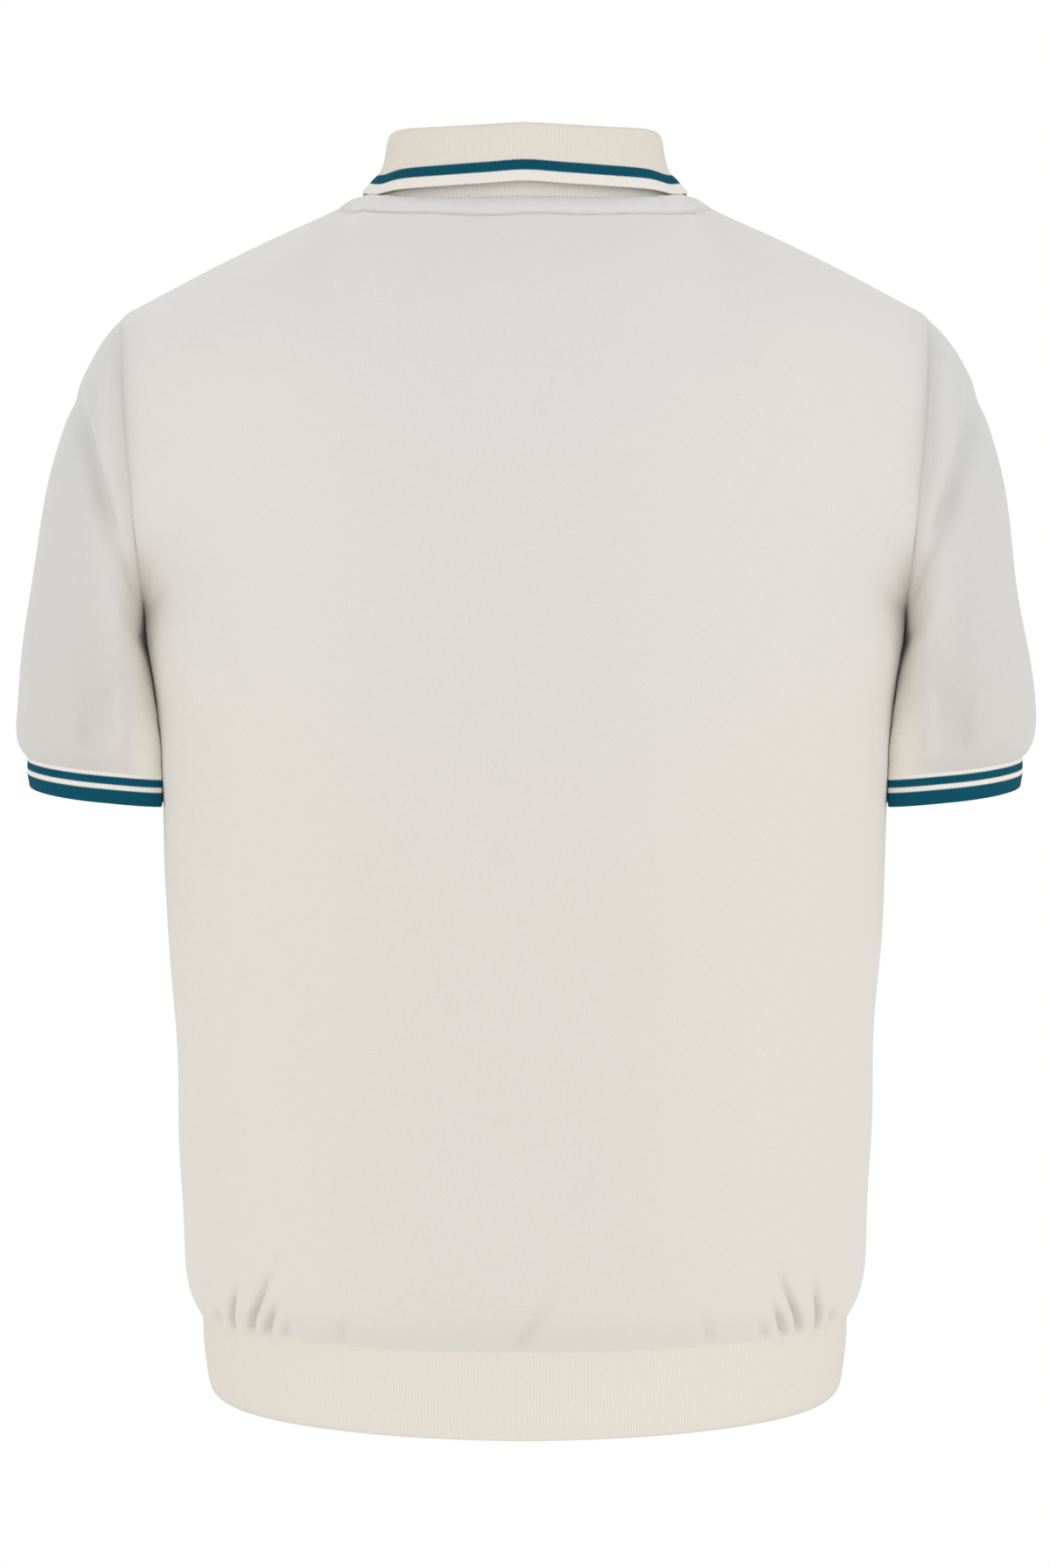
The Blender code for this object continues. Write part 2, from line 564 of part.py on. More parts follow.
def ring_points(ring, angles):
    """One ring of the sleeve, the angle running from the outer point over the back."""
    outer = np.array([ring.outer_x, ring.middle, ring.outer_z])
    inner = np.array([ring.inner_x, ring.middle, ring.inner_z])
    turn = np.radians(angles)[:, None]
    depth = np.where(np.sin(turn) > 0, ring.back, ring.front)
    flat = np.where(np.cos(turn) < 0, SLEEVE_FLATNESS * ease(ring.along / FLATNESS_REACH), 0.0)
    outwards = np.sign(np.cos(turn)) * np.abs(np.cos(turn)) ** (1.0 - flat)
    backwards = np.sign(np.sin(turn)) * np.abs(np.sin(turn)) ** (1.0 - flat)
    points = (outer + inner) / 2 + (outer - inner) / 2 * outwards - depth * backwards * FORWARD
    points[:, 2] -= CUFF_TILT_BACK * ring.along ** 2 * (points[:, 1] - ring.middle)
    return clear_of_body(points)


def clear_of_body(points):
    """Sleeve points, pushed softly outwards where they would come too close to the body."""
    room = points[:, 0] - body_side(points[:, 1], points[:, 2]) - SLEEVE_CLEARANCE
    soft = CLEARANCE_SOFTNESS
    push = np.where(room < soft, (soft - room) ** 2 / (4 * soft), 0.0)
    push = np.where(room < -soft, -room, push)
    moved = points.copy()
    moved[:, 0] += push * ease((CHEST_LINE - points[:, 2]) / CLEARANCE_FADE)
    return moved


def straightened(rings, angles):
    """The rings, with the cloth under the arm running straight from the armhole to one ring."""
    start, end = rings[0], rings[STRAIGHT_RINGS]
    across = np.cos(np.radians(angles))
    straight = ease((UNDERARM_START - across) / UNDERARM_REACH)
    straight *= ease((across - UNDERARM_END) / UNDERARM_FADE)
    for i, ring in enumerate(SLEEVE[:STRAIGHT_RINGS - 1], start=1):
        share = ring.along / SLEEVE[STRAIGHT_RINGS - 1].along
        rings[i] = rings[i] + (start + (end - start) * share - rings[i]) * straight[:, None]
    return rings


def trough_depth(angles, along):
    """How deep the sleeve is drawn in along its slanting folds, at one ring."""
    depth = np.zeros_like(angles)
    signed = np.where(angles > 180.0, angles - 360.0, angles)
    for trough in SLEEVE_TROUGHS:
        share = (signed - trough.round_from) / (trough.round_to - trough.round_from)
        centre = trough.along_from + (trough.along_to - trough.along_from) * np.clip(share, 0.0, 1.0)
        ends = ease(share / TROUGH_END) * ease((1.0 - share) / TROUGH_END)
        depth += trough.depth * ends * np.exp(-((along - centre) / trough.width) ** 2)
    return depth


def make_sleeve(back, front):
    """The left sleeve, from the armhole to the cuff seam."""
    behind, before = BACK_UPPER_ROWS, FRONT_UPPER_ROWS
    angles = np.concatenate([180.0 * np.arange(behind) / behind,
                             180.0 + 180.0 * np.arange(before) / before])
    rings = [armhole(back, front)] + [ring_points(ring, angles) for ring in SLEEVE]
    rings = straightened(rings, angles)
    sleeve = Cloth(rings, VELOUR_THICKNESS, around=True, flip=True)
    for i, ring in enumerate(SLEEVE, start=1):
        sleeve.points[i] -= trough_depth(angles, ring.along)[:, None] * sleeve.walls[i]
    sleeve.settle()
    sleeve.seam(np.s_[0, :], np.s_[1, :])
    sleeve.seam(np.s_[-1, :], np.s_[-2, :])
    return sleeve


def make_cuff(sleeve):
    """The rib band sewn to the sleeve's end, drawn in a little at its folded edge."""
    seam = sleeve.points[-1]
    centre = seam.mean(axis=0)
    outwards = unit((seam - centre) * np.array([1.0, 1.0, 0.0]))
    rows = [seam - CUFF_HEIGHT * share * UP - drawn * outwards for share, drawn in CUFF_ROWS]
    cuff = Cloth(rows, RIB_THICKNESS, around=True, flip=True)
    cuff.seam(np.s_[0, :], np.s_[1, :])
    return cuff


def other_side(piece):
    """The same piece for the wearer's right."""
    twin = Cloth(mirrored(piece.points), piece.thickness, piece.around, not piece.flip)
    twin.seams = list(piece.seams)
    return twin


# ---- waistband -------------------------------------------------------------------------------

def make_waistband(back, front):
    """The rib band round the waist, a closed ring from the hem up to the waist seam."""
    rows = []
    for height in BAND_ROWS[:-1]:
        behind = half_row(height, "back", panel_shares(BACK_NECK_CORNER))
        before = half_row(height, "front", panel_shares(FRONT_NECK_CORNER))
        rows.append(np.concatenate([mirrored(behind[:0:-1]), behind[:-1],
                                    before[:0:-1], mirrored(before[:-1])]))
    rows.append(np.concatenate([back.points[0], front.points[0, -2:0:-1]]))
    band = Cloth(rows, BAND_THICKNESS, around=True, flip=True)
    band.seam(np.s_[-1, :], np.s_[-2, :])
    return band


# ---- collar ----------------------------------------------------------------------------------

def collar_profile(base):
    """One section of the collar, from its neck seam over the fold to the fall's edge."""
    depth = NECK_BACK if base[1] > 0 else NECK_FRONT
    angle = abs(math.degrees(math.atan2(base[0] / NECK_HALF_WIDTH, base[1] / depth)))
    lean, stand, bow, out, drop, sideways = (float(read(COLLAR, "angle", column, angle))
                                             for column in Profile._fields[1:])
    outwards = unit(np.array([base[0] / NECK_HALF_WIDTH ** 2, base[1] / depth ** 2, 0.0]))
    backwards = np.array([-outwards[1], outwards[0], 0.0]) * math.copysign(1.0, base[0])
    fold_base = stand - FOLD_RADIUS
    seam = np.array([0.0, 0.0])
    stand_top = np.array([-lean, fold_base])
    stand_control = np.array([-lean * (0.5 + 0.5 * bow), fold_base * (0.5 - 0.45 * bow)])
    points = list(bend(seam, stand_control, stand_top, np.linspace(0, 1, STAND_STEPS + 1)))
    for turn in np.linspace(0, math.pi, FOLD_STEPS + 1)[1:]:
        points.append(stand_top + FOLD_RADIUS * np.array([1 - math.cos(turn), math.sin(turn)]))
    fall_top, edge = points[-1], np.array([out, drop])
    flare_out, flare_up = FALL_FLARE
    fall_control = np.array([fall_top[0] + (edge[0] - fall_top[0]) * flare_out,
                             edge[1] + (fall_top[1] - edge[1]) * flare_up])
    shares = np.linspace(0, 1, FALL_STEPS + 1)[1:]
    points += list(bend(fall_top, fall_control, edge, shares))
    strays = np.concatenate([np.zeros(STAND_STEPS + FOLD_STEPS + 1), sideways * shares])
    return np.array([base + outwards * o + UP * z + backwards * stray
                     for (o, z), stray in zip(points, strays)])


def rest_on(panels, points):
    """Points, raised where they would come too close to the panels below them."""
    below = np.concatenate([panel.points[panel.chest:].reshape(-1, 3) for panel in panels])
    walls = np.concatenate([panel.walls[panel.chest:].reshape(-1, 3) for panel in panels])
    resting = []
    for point in points:
        apart = np.linalg.norm(below[:, :2] - point[:2], axis=1)
        near = np.argsort(apart)[:4]
        slope = walls[near, :2] / walls[near, 2:]
        heights = below[near, 2] - np.sum(slope * (point[:2] - below[near, :2]), axis=1)
        weights = 1.0 / (apart[near] + 1e-4) ** 2
        height = np.sum(weights * heights) / np.sum(weights) + COLLAR_CLEARANCE
        resting.append([point[0], point[1], max(point[2], height)])
    return np.array(resting)


def make_collar(back, front):
    """The collar, one knitted band folded over, from its right end round the back to its left."""
    share = COLLAR_PARTING / PLACKET_HALF_WIDTH
    end = (1 - share) * front.points[-1, front.middle] + share * front.points[-1, front.middle + 1]
    before = front.points[-1, front.middle + 1:front.middle + NECK_COLUMNS + 1]
    behind = back.points[-1, back.middle - NECK_COLUMNS + 1:back.middle + NECK_COLUMNS]
    left = np.concatenate([[end], before])
    seam = np.concatenate([mirrored(left), behind, left[::-1]])
    sections = np.array([collar_profile(base) for base in seam]).transpose(1, 0, 2)
    for i in range(STAND_STEPS + FOLD_STEPS + 1, len(sections)):
        sections[i] = rest_on((back, front), sections[i])
    collar = Cloth(sections, COLLAR_THICKNESS, flip=True)
    collar.seam(np.s_[0, :], np.s_[1, :])
    return collar


# ---- placket and buttons ---------------------------------------------------------------------

def placket_bands(front):
    """The upper and under bands, made from the front panel's own points over its opening."""
    first_row = len(front.points) - 1 - PLACKET_ROWS
    columns = np.s_[front.middle - 1:front.middle + 2]
    points = front.points[first_row:, columns].copy()
    walls = front.walls[first_row:, columns].copy()
    points[:, 0, 0] += SEAM_GAP
    points[:, -1, 0] -= SEAM_GAP
    points[0] += SEAM_GAP * unit(points[1] - points[0])
    bands = [Cloth(points + PLACKET_PROUD * walls, UPPER_BAND_THICKNESS),
             Cloth(points - UNDER_BAND_DEPTH * walls, UNDER_BAND_THICKNESS)]
    for band in bands:
        band.walls = walls
    dropped = {(i, j) for i in range(first_row, len(front.points) - 1)
               for j in (front.middle - 1, front.middle)}
    return bands, dropped


def add_button(name, centre, normal, material):
    """A turned button with a raised rim, facing along its normal."""
    side = unit(np.cross(normal, UP))
    upright = np.cross(side, normal)
    half = BUTTON_THICKNESS / 2
    points, faces = [], []
    for share, height in BUTTON_PROFILE:
        for turn in np.linspace(0, 2 * math.pi, BUTTON_SIDES, endpoint=False):
            reach = BUTTON_RADIUS * share * (side * math.cos(turn) + upright * math.sin(turn))
            points.append(centre + reach + normal * height * half)
    for i in range(len(BUTTON_PROFILE) - 1):
        for j in range(BUTTON_SIDES):
            k = (j + 1) % BUTTON_SIDES
            faces.append((i * BUTTON_SIDES + k, i * BUTTON_SIDES + j,
                          (i + 1) * BUTTON_SIDES + j, (i + 1) * BUTTON_SIDES + k))
    top = (len(BUTTON_PROFILE) - 1) * BUTTON_SIDES
    faces.append(tuple(range(BUTTON_SIDES)))
    faces.append(tuple(top + j for j in reversed(range(BUTTON_SIDES))))
    add_mesh(name, np.array(points), faces, material)


def add_buttons(band, material):
    """The buttons down the middle of the upper band."""
    line = band.points[::-1, 1]
    run = run_along(line)
    for number, drop in enumerate(BUTTON_DROPS, start=1):
        centre = np.array([np.interp(drop, run, line[:, k]) for k in range(3)])
        normal = unit(np.array([np.interp(drop, run, band.walls[::-1, 1, k]) for k in range(3)]))
        lift = SEAM_GAP + BUTTON_THICKNESS / 2
        add_button(f"button_{number}", centre + lift * normal, normal, material)


# ---- the whole shirt -------------------------------------------------------------------------

def main():
    for item in list(bpy.data.objects):
        bpy.data.objects.remove(item, do_unlink=True)
    velour, rib, button = finish("velour", 0.9), finish("rib", 0.85), finish("button", 0.3)
    back, front = make_panel("back"), make_panel("front")
    left_sleeve = make_sleeve(back, front)
    left_cuff = make_cuff(left_sleeve)
    right_sleeve, right_cuff = other_side(left_sleeve), other_side(left_cuff)
    waistband = make_waistband(back, front)
    collar = make_collar(back, front)
    sew([back, front, left_sleeve, right_sleeve, left_cuff, right_cuff, waistband, collar])
    for panel in (back, front):
        panel.points[panel.chest, (0, -1)] -= SEAM_GAP / 2 * UP
    front.walls[-1, front.middle] = front.walls[-1, front.middle - 1:front.middle + 2:2].mean(axis=0)
    collar.walls[0, 0], collar.walls[0, -1] = collar.walls[0, 1], collar.walls[0, -2]
    bands, opening = placket_bands(front)
    add_wall("back_panel", back, velour)
    add_wall("front_panel", front, velour, dropped=opening)
    add_wall("sleeve_left", left_sleeve, velour)
    add_wall("sleeve_right", right_sleeve, velour)
    add_wall("cuff_left", left_cuff, rib)
    add_wall("cuff_right", right_cuff, rib)
    add_wall("waistband", waistband, rib)
    add_wall("collar", collar, rib)
    add_wall("placket_upper", bands[0], velour)
    add_wall("placket_under", bands[1], velour)
    add_buttons(bands[0], button)


main()
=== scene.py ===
# %% [markdown]
# # A velour polo shirt, seen from the back
# The shirt is shown filled out and empty, as if someone wore it: two velour panels, two short
# sleeves, a knitted rib collar with a teal stripe, tipped rib cuffs and a rib waistband. The first
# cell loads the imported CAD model. Everything else here is dressed over it, in the same frame and in
# metres: +Z is up, the front faces -Y, and the origin is the middle of the neck opening.

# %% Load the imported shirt
import math
from collections import namedtuple

import bpy
import numpy as np
from mathutils import Matrix


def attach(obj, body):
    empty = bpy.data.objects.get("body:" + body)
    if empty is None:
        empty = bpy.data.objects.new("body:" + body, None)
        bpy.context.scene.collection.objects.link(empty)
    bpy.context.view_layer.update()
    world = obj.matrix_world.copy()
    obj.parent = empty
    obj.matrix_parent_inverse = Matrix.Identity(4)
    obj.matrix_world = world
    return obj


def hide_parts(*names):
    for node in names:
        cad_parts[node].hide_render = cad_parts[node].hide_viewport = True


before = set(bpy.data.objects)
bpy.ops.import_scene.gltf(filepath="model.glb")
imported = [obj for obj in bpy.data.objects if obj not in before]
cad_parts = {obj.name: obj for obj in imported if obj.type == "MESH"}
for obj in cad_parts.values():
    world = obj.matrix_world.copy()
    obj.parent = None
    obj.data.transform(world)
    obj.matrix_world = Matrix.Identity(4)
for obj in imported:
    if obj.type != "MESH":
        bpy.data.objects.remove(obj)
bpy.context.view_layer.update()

bpy.ops.object.select_all(action="DESELECT")
print("nodes to dress:", sorted(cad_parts))

# %% [markdown]
# ## Camera
# The picture is taken square on, level and at the height of the shirt's middle, from about two
# metres. The lens follows from how many pixels a metre takes at the shirt, so nothing has to be
# aimed by eye. The sensor's width stands for the picture's long side.

# %% Camera
PICTURE_HEIGHT = 1792           # pixels
PIXELS_PER_METRE = 2031.0       # at the depth of the origin
CAMERA_DISTANCE = 1.953
CAMERA_HEIGHT = -0.331
SENSOR = 36.0                   # millimetres

bpy.ops.object.camera_add(location=(0.0, CAMERA_DISTANCE, CAMERA_HEIGHT),
                          rotation=(math.radians(90), 0.0, math.radians(180)))
camera = bpy.context.object
camera.name = "back_view"
camera.data.sensor_width = SENSOR
camera.data.lens = SENSOR * PIXELS_PER_METRE * CAMERA_DISTANCE / PICTURE_HEIGHT
bpy.context.scene.camera = camera
print(f"lens {camera.data.lens:.1f} mm")

# %% [markdown]
# ## Light and floor
# A shirt like this is photographed in a white studio: the walls are bright all round, so there are
# hardly any shadows, and big soft boxes only lift the side that faces them. Here the world is that
# room. It is white at the level of the shirt and a little greyer above and below, which gives the
# shoulders their cool tone and the folds their shade. The floor lies well below the hanging shirt.

# %% Room, soft boxes and floor
ROOM = (  # height of the direction looked in, as a share of straight up, and the light there
    (-1.00, (0.80, 0.75, 0.68)),
    (-0.34, (0.90, 0.87, 0.83)),
    (-0.27, (1.00, 1.00, 1.00)),
    (0.27, (1.00, 1.00, 1.00)),
    (0.42, (0.90, 0.915, 0.945)),
    (1.00, (0.90, 0.92, 0.96)),
)
SIDE_SHADE = 0.06               # how much darker the room is straight to either side
SoftBox = namedtuple("SoftBox", "name place size watts")
SOFT_BOXES = (
    SoftBox(name="fill_behind", place=(0.0, 2.7, -0.30), size=1.4, watts=8.5),
    SoftBox(name="high_behind", place=(-1.2, 2.2, 1.4), size=1.4, watts=5.0),
    SoftBox(name="left_wall", place=(2.3, 0.7, -0.60), size=1.8, watts=7.5),
    SoftBox(name="right_wall", place=(-2.3, 0.7, -0.60), size=1.8, watts=7.5),
    SoftBox(name="fill_before", place=(0.0, -2.7, -0.30), size=1.4, watts=8.5),
    SoftBox(name="high_before", place=(1.2, -2.2, 1.4), size=1.4, watts=6.0),
)
FLOOR_HEIGHT = -1.45
FLOOR_RADIUS = 2.4
MIDDLE = (0.0, 0.0, -0.33)


def plain_material(name, colour, roughness):
    """A material whose shader is returned, to be wired up further."""
    material = bpy.data.materials.new(name)
    material.use_nodes = True
    shader = material.node_tree.nodes["Principled BSDF"]
    shader.inputs["Base Color"].default_value = (*colour, 1.0)
    shader.inputs["Roughness"].default_value = roughness
    return material, shader


def link(tree, out, into):
    """Joins one node's output to another one's input."""
    tree.links.new(out, into)


def add_math(tree, operation, *values):
    """A maths node. Each value is a number or another node's socket."""
    node = tree.nodes.new("ShaderNodeMath")
    node.operation = operation
    for socket, value in zip(node.inputs, values):
        if isinstance(value, (int, float)):
            socket.default_value = value
        else:
            link(tree, value, socket)
    return node.outputs[0]


def light_room():
    """The world's light: its colour by the height of each direction, and dimmer to either side."""
    world = bpy.data.worlds.new("white_studio")
    bpy.context.scene.world = world
    world.use_nodes = True
    tree = world.node_tree
    background = tree.nodes["Background"]
    way = tree.nodes.new("ShaderNodeSeparateXYZ")
    link(tree, tree.nodes.new("ShaderNodeTexCoord").outputs["Generated"], way.inputs["Vector"])
    ramp = tree.nodes.new("ShaderNodeValToRGB")
    stops = ramp.color_ramp.elements
    stops[0].color, stops[1].color = (*ROOM[0][1], 1.0), (*ROOM[-1][1], 1.0)
    for height, colour in ROOM[1:-1]:
        stops.new(0.5 + 0.5 * height).color = (*colour, 1.0)
    link(tree, add_math(tree, "MULTIPLY_ADD", way.outputs["Z"], 0.5, 0.5), ramp.inputs["Fac"])
    link(tree, ramp.outputs["Color"], background.inputs["Color"])
    aside = add_math(tree, "MULTIPLY", way.outputs["X"], way.outputs["X"])
    link(tree, add_math(tree, "MULTIPLY_ADD", aside, -SIDE_SHADE, 1.0), background.inputs["Strength"])


def add_soft_box(box):
    """A square area light that faces the middle of the shirt."""
    data = bpy.data.lights.new(box.name, "AREA")
    data.energy = box.watts
    data.size = box.size
    lamp = bpy.data.objects.new(box.name, data)
    bpy.context.scene.collection.objects.link(lamp)
    lamp.location = box.place
    aim = np.array(MIDDLE) - np.array(box.place)
    lamp.rotation_euler = (math.atan2(math.hypot(aim[0], aim[1]), -aim[2]), 0.0,
                           math.atan2(-aim[0], aim[1]))


light_room()
for box in SOFT_BOXES:
    add_soft_box(box)
bpy.ops.mesh.primitive_circle_add(vertices=96, radius=FLOOR_RADIUS, fill_type="NGON",
                                  location=(0.0, 0.0, FLOOR_HEIGHT))
floor = bpy.context.object
floor.name = "floor"
bpy.ops.object.transform_apply(location=True, rotation=True, scale=True)
floor.data.materials.append(plain_material("pale_floor", (0.86, 0.84, 0.81), 0.7)[0])
bpy.context.scene.view_settings.view_transform = "Standard"
print(len(SOFT_BOXES), "soft boxes round a white room")

# %% [markdown]
# ## Sizes of the shirt
# The dressed pieces lie on the CAD model's form, so they start from its numbers: the body as level
# sections, the sleeve as rings round the arm, each panel's climb to the shoulder, and the collar's
# section as it goes round the neck. Thin cloth can lie closer than the solids do, so the sleeve's
# inner side and the edge of the collar's fall have rows that differ from the CAD model's by a few
# millimetres.

# %% Levels, neck and shoulder
WAIST_SEAM = -0.6305
HEM = -0.6768
CHEST_LINE = -0.2380
NECK_HALF_WIDTH = 0.0900
NECK_POINT_HEIGHT = -0.0015
NECK_BACK = 0.0660
NECK_FRONT = 0.0880
BACK_NECK_DROP = 0.0116
FRONT_NECK_DROP = 0.0780
BACK_NECK_LEVELNESS = 3.5
FRONT_NECK_LEVELNESS = 1.8
SHOULDER_TIP = np.array([0.2243, -0.0020, -0.0664])
SHOULDER_CROWN = 0.0026
UP = np.array([0.0, 0.0, 1.0])
FORWARD = np.array([0.0, -1.0, 0.0])
INWARD = np.array([-1.0, 0.0, 0.0])

# %% The body's level sections
Section = namedtuple("Section", "height half_width back front middle seam")
BODY = (
    Section(height=-0.6768, half_width=0.1686, back=0.1430, front=0.1050, middle=-0.015, seam=80),
    Section(height=-0.6742, half_width=0.1740, back=0.1430, front=0.1085, middle=-0.015, seam=80),
    Section(height=-0.6700, half_width=0.1775, back=0.1415, front=0.1095, middle=-0.015, seam=80),
    Section(height=-0.6604, half_width=0.1796, back=0.1405, front=0.1098, middle=-0.015, seam=80),
    Section(height=-0.6400, half_width=0.1818, back=0.1400, front=0.1100, middle=-0.015, seam=80),
    Section(height=-0.6305, half_width=0.1820, back=0.1400, front=0.1105, middle=-0.014, seam=80),
    Section(height=-0.6235, half_width=0.1862, back=0.1430, front=0.1145, middle=-0.013, seam=78),
    Section(height=-0.6150, half_width=0.1895, back=0.1460, front=0.1190, middle=-0.012, seam=75),
    Section(height=-0.6000, half_width=0.1922, back=0.1480, front=0.1220, middle=-0.011, seam=71),
    Section(height=-0.5750, half_width=0.1930, back=0.1475, front=0.1235, middle=-0.010, seam=68),
    Section(height=-0.5300, half_width=0.1947, back=0.1455, front=0.1260, middle=-0.010, seam=66),
    Section(height=-0.4600, half_width=0.1977, back=0.1430, front=0.1310, middle=-0.009, seam=68),
    Section(height=-0.3800, half_width=0.2025, back=0.1400, front=0.1390, middle=-0.008, seam=74),
    Section(height=-0.3000, half_width=0.2070, back=0.1385, front=0.1460, middle=-0.007, seam=84),
    Section(height=-0.2380, half_width=0.2140, back=0.1380, front=0.1480, middle=-0.006, seam=90),
)

# %% The sleeve's rings and the panels' climb
Ring = namedtuple("Ring", "along outer_x outer_z inner_x inner_z middle back front")
SLEEVE = (
    Ring(along=0.060, outer_x=0.2318, outer_z=-0.0768, inner_x=0.2150, inner_z=-0.2395,
         middle=0.002, back=0.0665, front=0.0650),
    Ring(along=0.140, outer_x=0.2445, outer_z=-0.0950, inner_x=0.2150, inner_z=-0.2418,
         middle=-0.002, back=0.0680, front=0.0660),
    Ring(along=0.240, outer_x=0.2550, outer_z=-0.1163, inner_x=0.2150, inner_z=-0.2455,
         middle=-0.007, back=0.0690, front=0.0670),
    Ring(along=0.360, outer_x=0.2655, outer_z=-0.1470, inner_x=0.2146, inner_z=-0.2510,
         middle=-0.012, back=0.0690, front=0.0670),
    Ring(along=0.500, outer_x=0.2742, outer_z=-0.1860, inner_x=0.2110, inner_z=-0.2610,
         middle=-0.018, back=0.0680, front=0.0665),
    Ring(along=0.640, outer_x=0.2810, outer_z=-0.2260, inner_x=0.2070, inner_z=-0.2735,
         middle=-0.024, back=0.0670, front=0.0660),
    Ring(along=0.780, outer_x=0.2873, outer_z=-0.2620, inner_x=0.2020, inner_z=-0.2895,
         middle=-0.029, back=0.0665, front=0.0655),
    Ring(along=0.880, outer_x=0.2905, outer_z=-0.2870, inner_x=0.1970, inner_z=-0.3035,
         middle=-0.032, back=0.0665, front=0.0655),
    Ring(along=0.950, outer_x=0.2903, outer_z=-0.3030, inner_x=0.1950, inner_z=-0.3150,
         middle=-0.034, back=0.0660, front=0.0650),
    Ring(along=0.985, outer_x=0.2870, outer_z=-0.3110, inner_x=0.1930, inner_z=-0.3200,
         middle=-0.035, back=0.0635, front=0.0630),
    Ring(along=1.000, outer_x=0.2842, outer_z=-0.3140, inner_x=0.1920, inner_z=-0.3228,
         middle=-0.035, back=0.0620, front=0.0620),
)
Arc = namedtuple("Arc", "station rise slide reach inward lift")
BACK_ARCS = (
    Arc(station=0.00, rise=0.260, slide=0.000, reach=0.160, inward=0.000, lift=0.170),
    Arc(station=0.25, rise=0.260, slide=0.100, reach=0.180, inward=0.070, lift=0.140),
    Arc(station=0.46, rise=0.250, slide=0.200, reach=0.210, inward=0.140, lift=0.105),
    Arc(station=0.62, rise=0.240, slide=0.250, reach=0.260, inward=0.060, lift=0.060),
    Arc(station=0.78, rise=0.210, slide=0.270, reach=0.270, inward=0.000, lift=0.040),
    Arc(station=1.00, rise=0.040, slide=0.290, reach=0.240, inward=0.000, lift=0.060),
)
FRONT_ARCS = (
    Arc(station=0.00, rise=0.170, slide=0.000, reach=-0.080, inward=0.000, lift=0.130),
    Arc(station=0.25, rise=0.180, slide=0.060, reach=-0.100, inward=0.060, lift=0.130),
    Arc(station=0.53, rise=0.220, slide=0.160, reach=-0.170, inward=0.140, lift=0.130),
    Arc(station=0.68, rise=0.220, slide=0.210, reach=-0.240, inward=0.060, lift=0.070),
    Arc(station=0.82, rise=0.200, slide=0.240, reach=-0.250, inward=0.000, lift=0.050),
    Arc(station=1.00, rise=0.040, slide=0.260, reach=-0.230, inward=0.000, lift=0.060),
)
Profile = namedtuple("Profile", "angle lean stand bow out drop spread")
COLLAR = (
    Profile(angle=0, lean=.0080, stand=.0396, bow=0.0, out=+.0045, drop=+.0074, spread=0.000),
    Profile(angle=45, lean=.0115, stand=.0375, bow=0.4, out=+.0026, drop=+.0038, spread=0.000),
    Profile(angle=75, lean=.0175, stand=.0338, bow=0.7, out=+.0008, drop=-.0026, spread=0.000),
    Profile(angle=90, lean=.0197, stand=.0320, bow=0.9, out=+.0006, drop=-.0030, spread=0.000),
    Profile(angle=135, lean=.0120, stand=.0270, bow=0.7, out=+.0150, drop=-.0105, spread=0.000),
    Profile(angle=180, lean=.0050, stand=.0240, bow=0.2, out=+.0260, drop=-.0270, spread=0.030),
)
print(len(BODY), "sections,", len(SLEEVE), "rings,", len(COLLAR), "collar profiles")

# %% [markdown]
# ## Curves through the sizes
# Every curve of the shirt is read from those few rows. One helper reads a table without ever
# overshooting it, so that a narrow waist stays as narrow as its row says. Another runs a smooth
# curve through points, which turns a coarse net of the shirt into a fine one.

# %% Reading tables and drawing curves
def unit(vectors):
    """Vectors at length one, along the last axis."""
    return vectors / np.maximum(np.linalg.norm(vectors, axis=-1, keepdims=True), 1e-12)


def ease(value):
    """Goes smoothly from 0 to 1 as the value does."""
    value = np.clip(value, 0.0, 1.0)
    return value * value * (3.0 - 2.0 * value)


def read(table, key, column, at):
    """One column of a table at any value of its key, on a smooth curve with no overshoot."""
    rows = sorted(table, key=lambda row: getattr(row, key))
    places = np.array([getattr(row, key) for row in rows], dtype=float)
    values = np.array([getattr(row, column) for row in rows], dtype=float)
    steps = np.diff(places)
    slopes = np.diff(values) / steps
    tangents = np.concatenate([slopes[:1], np.zeros(len(rows) - 2), slopes[-1:]])
    for k in range(1, len(rows) - 1):
        if slopes[k - 1] * slopes[k] > 0:
            tangents[k] = 2.0 / (1.0 / slopes[k - 1] + 1.0 / slopes[k])
    at = np.clip(np.asarray(at, dtype=float), places[0], places[-1])
    cell = np.clip(np.searchsorted(places, at, side="right") - 1, 0, len(steps) - 1)
    step = steps[cell]
    t = (at - places[cell]) / step
    start, end = values[cell], values[cell + 1]
    leave, arrive = tangents[cell] * step, tangents[cell + 1] * step
    return (start + (end - start) * t * t * (3 - 2 * t)
            + leave * t * (1 - t) ** 2 - arrive * t * t * (1 - t))


def run_along(points):
    """How far each point lies along a polyline."""
    lengths = np.linalg.norm(np.diff(points, axis=0), axis=1)
    return np.concatenate([[0.0], np.cumsum(lengths)])


def run_around(points):
    """The same for a closed line, with its whole length at the end."""
    run = run_along(points)
    return np.append(run, run[-1] + np.linalg.norm(points[0] - points[-1]))


def run_up(points):
    """How far each point of a net lies from the first row, along its own column."""
    steps = np.linalg.norm(np.diff(points, axis=0), axis=2)
    return np.concatenate([np.zeros((1, points.shape[1])), np.cumsum(steps, axis=0)])


def points_at(at, run, line):
    """The point or points of a line, at one or more distances along it."""
    return np.stack([np.interp(at, run, line[:, k]) for k in range(3)], axis=-1)


def spread(points, shares):
    """Points at the given shares of a polyline's length."""
    run = run_along(points)
    return points_at(np.asarray(shares) * run[-1], run, points)


def mirrored(points):
    """The same points on the other side of the body."""
    return points * np.array([-1.0, 1.0, 1.0])


